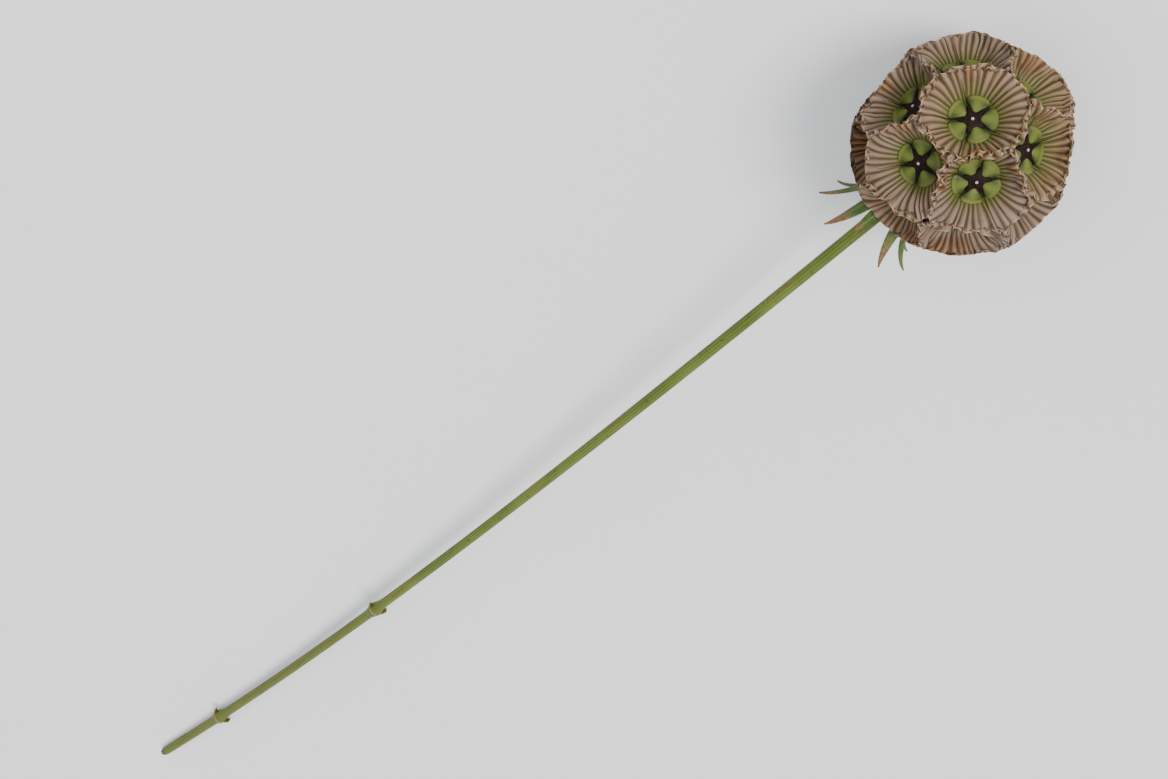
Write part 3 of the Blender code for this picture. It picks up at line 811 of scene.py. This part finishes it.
def upright_tube(husk):
    """The fluted tube of one seed, down to the receptacle."""
    tube = stack_rings("tube", TUBE_SIDES, TUBE_RINGS)
    for side, factor in TUBE_FLUTES:
        select_where(tube, lambda p: side_of(p, TUBE_SIDES, TUBE_REPEAT) == side)
        bpy.ops.transform.resize(value=(factor, factor, 1.0))
    close_piece()
    return dress(tube, husk)


def add_receptacle(husk):
    """The bumpy middle that the tubes grow from."""
    size = {"subdivisions": CORE_CUTS, "radius": CORE_RADIUS}
    core = start_piece("receptacle", bpy.ops.mesh.primitive_ico_sphere_add, **size)
    close_piece()
    points = read_points(core)
    draw = np.random.default_rng(SEED)
    bumps = 1.0 + CORE_BUMP / CORE_RADIUS * draw.uniform(-1.0, 1.0, len(points))
    write_points(core, points * bumps[:, None] + HEAD_CENTRE)
    return dress(core, husk)


def upright_tuft(straw):
    """Fine hairs all over one seed tube, each leaning outward and bending a little."""
    draw = random.Random(TUFT_SEED)
    radii, heights = zip(*TUBE_RINGS[::-1])
    hairs = []
    for k in range(TUBE_HAIRS):
        step = draw.uniform(*HAIR_LENGTH) / HAIR_STEPS
        lean = draw.uniform(*HAIR_LEAN)
        foot = draw.uniform(*HAIR_FEET)
        rings = [(HAIR_RADIUS * HAIR_TAPER**n, step * n) for n in range(HAIR_STEPS + 1)]
        hair = stack_rings(f"hair_{k}", HAIR_SIDES, rings)
        close_piece()
        x, y, along = read_points(hair).T
        angle = lean - HAIR_BEND * along / step
        out = np.interp(foot, heights, radii) - HAIR_RADIUS + along * np.sin(angle) + x
        write_points(hair, np.stack((out, y, foot + along * np.cos(angle)), axis=1))
        hair.data.transform(Matrix.Rotation(draw.uniform(0.0, math.tau), 4, "Z"))
        hairs.append(hair)
    return dress(join_pieces(hairs, "tuft"), straw)


# The bracts.


def flat_bract(green):
    """One narrow leaf, laid flat along X at length one, folded along its middle and pointed."""
    grid = {"x_subdivisions": BRACT_ROWS, "y_subdivisions": BRACT_COLUMNS, "location": (0.5, 0.0, 0.0)}
    bract = start_piece("bract", bpy.ops.mesh.primitive_grid_add, size=1.0, **grid)
    for k in range(BRACT_ROWS + 1):
        share = k / BRACT_ROWS
        phase = math.pi * (BRACT_FOOT_SHARE + (1.0 - BRACT_FOOT_SHARE) * share) ** BRACT_BELLY
        swell = max(0.0, math.sin(phase)) ** BRACT_FULLNESS
        width = BRACT_WIDTH * (swell + BRACT_TIP_WIDTH * (1.0 - share**BRACT_TIP_POWER))
        select_where(bract, lambda p: abs(p.x - share) < NEAR)
        bpy.ops.transform.resize(value=(1.0, max(width, BRACT_POINT), 1.0))
    close_piece()
    points = read_points(bract)
    across = np.abs(points[:, 1])
    note(bract, along=points[:, 0], across=across / BRACT_WIDTH * 2.0)
    height, half_width = BRACT_MIDRIB
    points[:, 2] = BRACT_FOLD * across - height * np.exp(-((across / half_width) ** 2))
    write_points(bract, points)
    apply_modifier(bract, "SOLIDIFY", thickness=BRACT_THICKNESS, offset=0.0, use_even_offset=False)
    return dress(bract, green)


def bent_bract(flat, out, foot, lean, length, curl, draw):
    """Where a flat bract's points come to lie, along the stem at first and then curling away."""
    shares = np.linspace(0.0, 1.0, BRACT_BEND_STEPS + 1)
    angle = lean + curl * np.clip(shares - BRACT_BEND_FROM, 0.0, None) ** BRACT_BEND_POWER
    headings = np.outer(np.cos(angle), STEMWARD) + np.outer(np.sin(angle), out)
    faces = np.outer(np.sin(angle), STEMWARD) - np.outer(np.cos(angle), out)
    steps = 0.5 * (headings[1:] + headings[:-1]) * length / BRACT_BEND_STEPS
    line = foot * out + BRACT_FOOT * STEMWARD + np.vstack((np.zeros(3), np.cumsum(steps, axis=0)))
    across = np.cross(STEMWARD, out)
    line += np.outer(BRACT_SWAY * draw.uniform(-1.0, 1.0) * shares**2, across)
    along = np.clip(flat[:, 0], 0.0, 1.0)
    twist = (BRACT_TWIST * draw.uniform(-1.0, 1.0) * along**BRACT_BEND_POWER)[:, None]
    middle, face = (
        np.stack([np.interp(along, shares, column) for column in rows.T], axis=1)
        for rows in (line, faces)
    )
    sideways = np.cos(twist) * across + np.sin(twist) * face
    upward = np.cos(twist) * face - np.sin(twist) * across
    return middle + flat[:, 1:2] * sideways + flat[:, 2:3] * upward + HEAD_CENTRE


def add_bracts(green):
    """The two rings of bracts, on the cup that closes the head towards the stem."""
    draw = random.Random(BRACT_SEED)
    detail = random.Random(BRACT_DETAIL_SEED)
    first, second = across_directions(STEMWARD, 0.0)
    cup = stack_rings("cup", CUP_SIDES, CUP_RINGS)
    close_piece()
    write_points(cup, read_points(cup) @ np.array((first, second, STEMWARD)) + HEAD_CENTRE)
    note(cup, **CUP_NOTES)
    pieces = [dress(cup, green)]
    bract = flat_bract(green)
    flat = read_points(bract)
    for turn, foot, lean, length, curl, wider in BRACT_RINGS:
        for k in range(BRACTS):
            azimuth = math.tau * (k + turn + draw.uniform(-BRACT_SCATTER, BRACT_SCATTER)) / BRACTS
            own_length = length * draw.uniform(*BRACT_LENGTH_RANGE)
            own_curl = curl * draw.uniform(*BRACT_CURL_RANGE)
            out = math.cos(azimuth) * first + math.sin(azimuth) * second
            copy = copy_of(bract, f"bract_{len(pieces)}")
            shape = flat * (1.0, wider, 1.0)
            write_points(copy, bent_bract(shape, out, foot, lean, own_length, own_curl, detail))
            note(copy, tint=detail.uniform(0.0, 1.0))
            pieces.append(copy)
    bpy.data.objects.remove(bract)
    return join_pieces(pieces, "bract_leaves")


# The stem.


def stem_line(shares):
    """Points along the middle of the stem from head to cut, and the directions aside, up and along."""
    start = STEM_START * STEMWARD
    low = STEM_END_RADIUS * STEM_END_DEPTH
    end = np.array((-STEM_REACH, STEM_END_OFFSET, low - HEAD_CENTRE[2]))
    ahead = np.array((-math.cos(STEM_END_TURN), math.sin(STEM_END_TURN), -math.sin(STEM_END_SLOPE)))
    pulls = [start, start + STEM_PULL * STEMWARD, end - STEM_PULL * ahead, end]
    share = np.asarray(shares, float)[:, None]
    while len(pulls) > 2:
        pulls = [first + share * (second - first) for first, second in zip(pulls, pulls[1:])]
    first, second = pulls
    heading = unit(second - first)
    aside = unit(np.cross((0.0, 0.0, 1.0), heading))
    return first + share * (second - first), aside, np.cross(heading, aside), heading


def stem_radius(share):
    """The stem's radius at a share of its length, with the swelling and the ring at each joint."""
    radius = np.interp(share, *STEM_RADII)
    for node in STEM_NODES:
        for swell, length in NODE_SWELLS:
            radius *= 1.0 + swell * math.exp(-(((share - node) * STEM_REACH / length) ** 2))
    return radius


def stem_rows():
    """Where the straight stem has rings, as shares of its length: close together at the joints."""
    rows = [0.0]
    while rows[-1] < STEM_SPARE:
        near = min(abs(rows[-1] - node) * STEM_REACH for node in STEM_NODES)
        rows.append(rows[-1] + (NODE_STEP if near < NODE_SPAN else STEM_STEP) / STEM_REACH)
    return rows


def add_stem(skin, pith):
    """The ridged stem, modelled straight, cut aslant at its end, and bent along its line."""
    rings = [(stem_radius(share), share * STEM_REACH) for share in stem_rows()]
    stem = stack_rings("cut_stem", STEM_SIDES, rings)
    repeat = STEM_SIDES // STEM_RIDGES
    for side, factor in ((0, 1.0 + STEM_RIDGE), (repeat // 2, 1.0 - STEM_RIDGE)):
        select_where(stem, lambda p: p.z > STEM_STEP and side_of(p, STEM_SIDES, repeat) == side)
        bpy.ops.transform.resize(value=(factor, factor, 1.0))
    bpy.ops.mesh.select_all(action="SELECT")
    cut = {"plane_co": (0.0, 0.0, STEM_REACH), "plane_no": (0.0, -CUT_SLANT / STEM_END_RADIUS, 1.0)}
    bpy.ops.mesh.bisect(use_fill=True, clear_outer=True, **cut)
    for width, depth in CUT_RINGS:
        bpy.ops.mesh.inset(thickness=width, depth=-depth)
    face_outward()
    close_piece()
    straight = read_points(stem)
    radius, azimuth = polar(straight)
    share = straight[:, 2] / STEM_REACH
    past = np.array([(share - node) * STEM_REACH for node in STEM_NODES])
    nearest = past[np.abs(past).argmin(axis=0), np.arange(len(share))]
    note(stem, along=share, ridge=np.cos(STEM_RIDGES * azimuth))
    note(stem, past_joint=nearest / NODE_LENGTH, off_middle=radius / STEM_END_RADIUS)
    dress(stem, skin, pith)
    for face in stem.data.polygons:
        if face.normal.z > CUT_FACING and face.center.z > STEM_REACH - 2.0 * CUT_SLANT:
            face.material_index = 1
            face.use_smooth = False
    middle, aside, up, _ = stem_line(share)
    bent = middle + straight[:, :1] * aside + straight[:, 1:2] * up
    write_points(stem, above_floor(bent + HEAD_CENTRE))
    return stem


def upright_stub(skin):
    """The torn base of one stripped leaf, with how far along it each vertex lies."""
    length = STUB_SIZE[2]
    stub = start_block("stub", STUB_SIZE, STUB_CUTS)
    for start, narrower, thinner in STUB_TAPER:
        select_where(stub, lambda p: p.z > start * length)
        bpy.ops.transform.resize(value=(narrower, thinner, 1.0))
    close_piece()
    apply_modifier(stub, "SUBSURF", levels=1, render_levels=1)
    shape = read_points(stub)
    share = shape[:, 2] / length + 0.5
    shape[:, 2] += STUB_TEAR * np.sin(shape[:, 0] * STUB_TEETH) * smooth_step(share, *TORN_SPAN)
    write_points(stub, shape)
    note(stub, torn=share, **STUB_NOTES)
    return dress(stub, skin), share


def add_stubs(skin):
    """The bases of the stripped leaves, in pairs that clasp each joint."""
    stub, share = upright_stub(skin)
    shape = read_points(stub)
    stubs = []
    for node, turn in zip(STEM_NODES, STUB_TURNS):
        middle, aside, up, heading = (row[0] for row in stem_line([node]))
        radius = stem_radius(node)
        lift = radius * np.interp(share, *STUB_LIFT) + shape[:, 1]
        clasp = shape[:, 0] / (STUB_CLASP * radius)
        round_stem = np.stack((lift * np.cos(clasp), lift * np.sin(clasp), shape[:, 2]), axis=1)
        for sign in (-1.0, 1.0):
            out = sign * (math.cos(turn) * aside + math.sin(turn) * up)
            directions = np.array((out, np.cross(heading, out), -heading))
            copy = copy_of(stub, f"stub_{len(stubs)}")
            write_points(copy, above_floor(middle + round_stem @ directions + HEAD_CENTRE))
            stubs.append(copy)
    bpy.data.objects.remove(stub)
    return join_pieces(stubs, "leaf_stubs")


# Finishes.


def math_node(operation, swapped=False):
    """What a Python operator does between shades."""

    def operate(shade, other):
        """A Math node on a shade and a number or another shade."""
        pair = (other, shade) if swapped else (shade, other)
        return shade.finish.node("ShaderNodeMath", dict(enumerate(pair)), operation=operation)

    return operate


class Shade:
    """A shader socket that Python's operators work on."""

    def __init__(self, finish, output):
        self.finish = finish
        self.output = output

    __add__ = math_node("ADD")
    __radd__ = math_node("ADD", swapped=True)
    __sub__ = math_node("SUBTRACT")
    __rsub__ = math_node("SUBTRACT", swapped=True)
    __mul__ = math_node("MULTIPLY")
    __rmul__ = math_node("MULTIPLY", swapped=True)


class Finish:
    """A material that is being mixed."""

    def __init__(self, name, roughness=0.6, gloss=0.5):
        self.made = bpy.data.materials.new(name)
        self.made.use_nodes = True
        self.tree = self.made.node_tree
        self.shader = self.tree.nodes["Principled BSDF"]
        self.shader.inputs["Roughness"].default_value = roughness
        self.shader.inputs["Specular IOR Level"].default_value = gloss
        self.place = self.node("ShaderNodeTexCoord", {}, "Object")

    def node(self, kind, inputs, output=0, **settings):
        """Adds a node of any kind with its inputs and settings, and gives one of its outputs."""
        node = self.tree.nodes.new(kind)
        for name, value in settings.items():
            setattr(node, name, value)
        for socket, value in inputs.items():
            if isinstance(value, Shade):
                self.tree.links.new(value.output, node.inputs[socket])
            else:
                node.inputs[socket].default_value = value
        return Shade(self, node.outputs[output])

    def noted(self, name, output="Fac"):
        """A number that was stored for each vertex, or a place if the output is Vector."""
        return self.node("ShaderNodeAttribute", {}, output, attribute_name=name)

    def ramp(self, value, *stops):
        """Colours along a value, from stops that are each a position and a colour."""
        colours = self.node("ShaderNodeValToRGB", {"Fac": value})
        elements = colours.output.node.color_ramp.elements
        while len(elements) < len(stops):
            elements.new(1.0)
        for element, (position, colour) in zip(elements, stops):
            element.position = position
            element.color = (*colour, 1.0)
        return colours

    def noise(self, scale, detail=2.0, rough=0.5, place=None):
        """A cloudy pattern, from 0 to 1."""
        sockets = {"Vector": place or self.place, "Scale": scale, "Detail": detail, "Roughness": rough}
        return self.node("ShaderNodeTexNoise", sockets)

    def step(self, value, low, high):
        """0 below low, 1 above high, and smooth between. It runs the other way if low is the higher."""
        sockets = {0: value, 1: low, 2: high}
        if low > high:
            sockets = {0: value, 1: high, 2: low, 3: 1.0, 4: 0.0}
        return self.node("ShaderNodeMapRange", sockets, interpolation_type="SMOOTHSTEP")

    def mix(self, share, first, second):
        """Two colours mixed."""
        sockets = {"Factor": share}
        for socket, colour in ((6, first), (7, second)):
            sockets[socket] = colour if isinstance(colour, Shade) else (*colour, 1.0)
        return self.node("ShaderNodeMix", sockets, 2, data_type="RGBA")

    def over(self, base, colour, share, value, low, high):
        """A share of a colour laid over another one where a value passes from low to high."""
        return self.mix(self.step(value, low, high) * share, base, colour)

    def bump(self, height, strength, distance):
        """Normals from a height pattern."""
        sockets = {"Height": height, "Strength": strength, "Distance": distance}
        return self.node("ShaderNodeBump", sockets)

    def material(self, **patterns):
        """Links patterns to the shader, and gives the material."""
        for socket, pattern in patterns.items():
            name = socket.replace("_", " ").title()
            self.tree.links.new(pattern.output, self.shader.inputs[name])
        return self.made


def mottled(name, roughness, scale, detail, first, second):
    """A plain finish that wavers between two colours."""
    plain = Finish(name, roughness)
    return plain.material(base_color=plain.mix(plain.noise(scale, detail), first, second))


def boss_finish():
    """A pale, slightly grey dot."""
    return mottled("boss_pale", 0.5, 3000.0, 2.0, (0.34, 0.26, 0.25), (0.58, 0.49, 0.47))


def hair_finish():
    """Silvery straw."""
    return mottled("hair_straw", 0.5, 90.0, 1.0, (0.50, 0.44, 0.32), (0.72, 0.68, 0.56))


def floor_finish():
    """A pale matt floor, hardly uneven in tone."""
    return mottled("floor_pale", 0.85, 8.0, 2.0, (0.88, 0.88, 0.89), (0.91, 0.91, 0.91))


def collar_finish():
    """Dry papery membrane, green in the throat and beige at the rim, between brown veins."""
    paper = Finish("papery_collar", gloss=0.3)
    along = paper.noted("along")
    rib = paper.noted("rib")
    tint = paper.noted("tint")
    greenness = paper.noted("greenness")
    pressed = paper.noted("pressed")
    lay = paper.noted("lay", "Vector")
    cloud = paper.noise(260.0, 3.0)
    fibres = paper.noise(36.0, 3.0, 0.6, lay)
    each_rib = paper.noise(5.5, 1.0, 0.5, lay)
    fine = paper.noise(2600.0, 2.0)
    reach = along + (cloud - 0.5) * 0.5 + (each_rib - 0.5) * 0.35 + (greenness - 0.5) * -0.35
    membrane = paper.ramp(
        reach,
        (0.0, (0.105, 0.108, 0.018)),
        (0.18, (0.128, 0.103, 0.026)),
        (0.38, (0.164, 0.107, 0.041)),
        (0.62, (0.186, 0.117, 0.056)),
        (0.86, (0.216, 0.140, 0.077)),
        (1.0, (0.262, 0.177, 0.104)),
    )
    grey = paper.mix(paper.step(reach, 0.0, 0.45), membrane, (0.198, 0.142, 0.111))
    membrane = paper.over(membrane, grey, 0.85, tint - pressed * 0.3, 0.2, 0.85)
    rusty = paper.noise(190.0, 3.0, 0.6) + pressed * 0.34
    rust = paper.step(rusty, 0.60, 0.84) * paper.step(along, 0.25, 0.75)
    membrane = paper.mix(rust * 0.75, membrane, (0.215, 0.088, 0.030))
    # Painted highlight: a paler cream along the crests of the ribs, out from the throat.
    crest_highlight = paper.step(rib + (fibres - 0.5) * 1.4, 0.25, 1.05) * paper.step(along, -0.05, 0.25)
    membrane = paper.mix(crest_highlight * 0.5, membrane, (0.325, 0.235, 0.142))
    vein_colour = paper.ramp(
        reach,
        (0.0, (0.030, 0.042, 0.008)),
        (0.25, (0.056, 0.041, 0.012)),
        (0.55, (0.060, 0.029, 0.012)),
        (1.0, (0.094, 0.048, 0.024)),
    )
    vein = rib + (fibres - 0.5) * 1.3 + (each_rib - 0.5) * 0.9
    colour = paper.over(membrane, vein_colour, 0.92, vein, -0.15, -0.85)
    colour = paper.over(colour, (0.09, 0.05, 0.02), 0.3, fibres, 0.55, 0.25)
    edge = paper.step(along, 0.94, 1.0) * paper.step(rib, -0.3, 0.7)
    colour = paper.mix(edge * 0.6, colour, (0.48, 0.36, 0.22))
    relief = paper.bump(fibres * 0.6 + fine * 0.4, 0.5, 0.0002)
    return paper.material(base_color=colour, roughness=fine * 0.2 + 0.62, normal=relief)


def cushion_finish():
    """Fresh green, with a painted highlight along each lobe and painted shade by the star's arms."""
    green = Finish("cushion_green", gloss=0.25)
    sector = green.noted("sector")
    along = green.noted("along")
    mottle = green.noise(1500.0, 3.0)
    # Painted highlight along the middle of each lobe, turning to painted shade at its sides by the
    # star's arms.
    colour = green.ramp(
        sector * -0.5 + (mottle - 0.5) * 0.45 + 0.5,
        (0.1, (0.024, 0.040, 0.007)),
        (0.45, (0.060, 0.083, 0.010)),
        (0.95, (0.114, 0.138, 0.020)),
    )
    colour = green.over(colour, (0.138, 0.143, 0.028), 0.6, along, -0.16, 0.06)
    relief = green.bump(mottle, 0.3, 0.0002)
    return green.material(base_color=colour, roughness=mottle * 0.2 + 0.38, normal=relief)


def star_finish():
    """Brown-black, with a faint bloom."""
    dark = Finish("star_aubergine", gloss=0.1)
    bloom = dark.noise(1300.0, 2.0)
    colour = dark.mix(dark.step(bloom, 0.35, 0.8), (0.009, 0.003, 0.003), (0.022, 0.010, 0.009))
    relief = dark.bump(bloom, 0.4, 0.0002)
    return dark.material(base_color=colour, roughness=bloom * 0.3 + 0.42, normal=relief)


def tube_finish():
    """Olive and brown, dry and mottled."""
    husk = Finish("tube_husk", roughness=0.8)
    cloud = husk.noise(420.0, 3.0)
    colour = husk.mix(husk.step(cloud, 0.3, 0.7), (0.13, 0.11, 0.035), (0.27, 0.22, 0.09))
    return husk.material(base_color=colour, normal=husk.bump(cloud, 0.5, 0.0004))


def bract_finish():
    """Green with a pale midrib and paler edges, browned and dry at the tip."""
    leaf = Finish("bract_green", gloss=0.3)
    along = leaf.noted("along")
    across = leaf.noted("across")
    tint = leaf.noted("tint")
    cloud = leaf.noise(330.0, 3.0)
    fine = leaf.noise(1900.0, 2.0)
    green = leaf.mix(leaf.step(cloud, 0.3, 0.75), (0.036, 0.076, 0.011), (0.080, 0.132, 0.024))
    green = leaf.over(green, (0.155, 0.205, 0.055), 0.6, across, 0.16, 0.0)
    green = leaf.over(green, (0.20, 0.21, 0.06), 0.4, across, 0.75, 1.0)
    dry = along + (cloud - 0.5) * 0.22 + (tint - 0.5) * 0.26
    brown = leaf.mix(leaf.step(fine, 0.3, 0.7), (0.10, 0.050, 0.016), (0.22, 0.135, 0.050))
    colour = leaf.mix(leaf.step(dry, 0.74, 0.94), green, brown)
    relief = leaf.bump(fine * 0.5 + cloud * 0.5, 0.3, 0.0003)
    return leaf.material(base_color=colour, roughness=0.5 + fine * 0.2, normal=relief)


def stem_finish():
    """Yellow-green with painted highlights on the ridges, brown flecks, and a tan band at each joint.
    """
    skin = Finish("stem_green", gloss=0.25)
    along = skin.noted("along")
    ridge = skin.noted("ridge")
    past_joint = skin.noted("past_joint")
    torn = skin.noted("torn")
    stretched = skin.node("ShaderNodeMapping", {"Vector": skin.place, "Scale": (0.07, 1.0, 1.0)})
    streak = skin.noise(900.0, 3.0, 0.6, stretched)
    cloud = skin.noise(55.0, 3.0)
    fleck = skin.noise(620.0, 2.0, 0.7)
    colour = skin.mix(skin.step(cloud, 0.3, 0.72), (0.070, 0.112, 0.012), (0.118, 0.150, 0.021))
    for layer in (
        ((0.098, 0.102, 0.016), 0.5, along, 0.55, 0.66),  # the browner foot
        ((0.175, 0.210, 0.045), 0.45, ridge, 0.2, 1.0),  # painted highlight on the ridges
        ((0.040, 0.066, 0.008), 0.45, ridge, -0.3, -1.0),  # painted shade in the grooves
        ((0.11, 0.062, 0.018), 0.6, streak, 0.54, 0.68),  # brown streaks
        ((0.075, 0.035, 0.012), 0.75, fleck, 0.62, 0.70),  # dark flecks
    ):
        colour = skin.over(colour, *layer)
    for band, rise, fall in (
        ((0.25, 0.19, 0.085), (-0.27, -0.09), (0.15, 0.045)),  # the tan ring on a joint
        ((0.05, 0.04, 0.014), (0.06, 0.15), (0.48, 0.21)),  # the dark line under it
    ):
        near = skin.step(past_joint, *rise) * skin.step(past_joint, *fall)
        colour = skin.mix(near * 0.75, colour, band)
    colour = skin.mix(skin.step(torn, 0.55, 0.95), colour, (0.17, 0.095, 0.04))
    relief = skin.bump(streak * 0.6 + fleck * 0.4, 0.3, 0.0003)
    return skin.material(base_color=colour, roughness=0.45 + streak * 0.25, normal=relief)


def pith_finish():
    """The fresh cut: a green rim round pale pith."""
    pith = Finish("cut_pith", roughness=0.6)
    off_middle = pith.noted("off_middle")
    cells = pith.noise(5200.0, 2.0)
    colour = pith.ramp(
        off_middle + (cells - 0.5) * 0.15,
        (0.0, (0.62, 0.60, 0.44)),
        (0.62, (0.55, 0.56, 0.34)),
        (0.8, (0.22, 0.30, 0.08)),
        (1.0, (0.16, 0.22, 0.05)),
    )
    return pith.material(base_color=colour, normal=pith.bump(cells, 0.4, 0.0002))


# The floor, the lights and the camera.


def add_floor():
    """A plain pale floor."""
    bpy.ops.object.select_all(action="DESELECT")
    bpy.ops.mesh.primitive_plane_add(size=FLOOR_SIZE, location=(0.0, 0.0, 0.0))
    floor = bpy.context.object
    floor.name = "floor"
    floor.data.materials.append(floor_finish())


def add_window():
    """One broad soft light, from the right of the camera's view and above."""
    data = bpy.data.lights.new("window", "SUN")
    data.energy = WINDOW_LIGHT
    data.angle = WINDOW_SOFTNESS
    lamp = bpy.data.objects.new("window", data)
    lamp.rotation_euler = Vector(WINDOW_FROM).to_track_quat("Z", "Y").to_euler()
    bpy.context.scene.collection.objects.link(lamp)


def add_daylight():
    """Even light from all sides."""
    world = bpy.data.worlds.new("daylight")
    world.use_nodes = True
    backdrop = world.node_tree.nodes["Background"]
    backdrop.inputs["Color"].default_value = DAYLIGHT_COLOUR
    backdrop.inputs["Strength"].default_value = DAYLIGHT
    bpy.context.scene.world = world


def add_camera():
    """Looks down on the head from its seen side, with the stem running to the lower left."""
    place = HEAD_CENTRE + CAMERA_DISTANCE * VIEW
    forward = unit(HEAD_CENTRE + CAMERA_AIM * (CUT_END - HEAD_CENTRE) + CAMERA_ASIDE - place)
    up = unit(VIEW_UP - (VIEW_UP @ forward) * forward)
    right = np.cross(forward, up)
    rolled_up = math.cos(CAMERA_ROLL) * up + math.sin(CAMERA_ROLL) * right
    rolled_right = np.cross(forward, rolled_up)
    data = bpy.data.cameras.new("camera")
    data.lens = CAMERA_LENS
    data.clip_start = CAMERA_NEAR
    camera = bpy.data.objects.new("camera", data)
    turn = Matrix((Vector(rolled_right), Vector(rolled_up), Vector(-forward))).transposed()
    camera.matrix_world = Matrix.Translation(Vector(place)) @ turn.to_4x4()
    bpy.context.scene.collection.objects.link(camera)
    bpy.context.scene.camera = camera


add_camera()
add_floor()
add_daylight()
add_window()

axes = floret_axes()
place_florets(axes)
husk = tube_finish()
tubes = one_for_each_axis(upright_tube(husk), "seed_tubes", axes, random.Random(SEED))
core = add_receptacle(husk)
hairs = one_for_each_axis(upright_tuft(hair_finish()), "tube_hairs", axes, random.Random(HAIR_SEED))
for piece in (tubes, core, hairs):
    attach(piece, "root")
    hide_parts("seed_head")
bracts = add_bracts(bract_finish())
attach(bracts, "root")
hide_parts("bracts")
skin = stem_finish()
for piece in (add_stem(skin, pith_finish()), add_stubs(skin)):
    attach(piece, "root")
    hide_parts("stem")
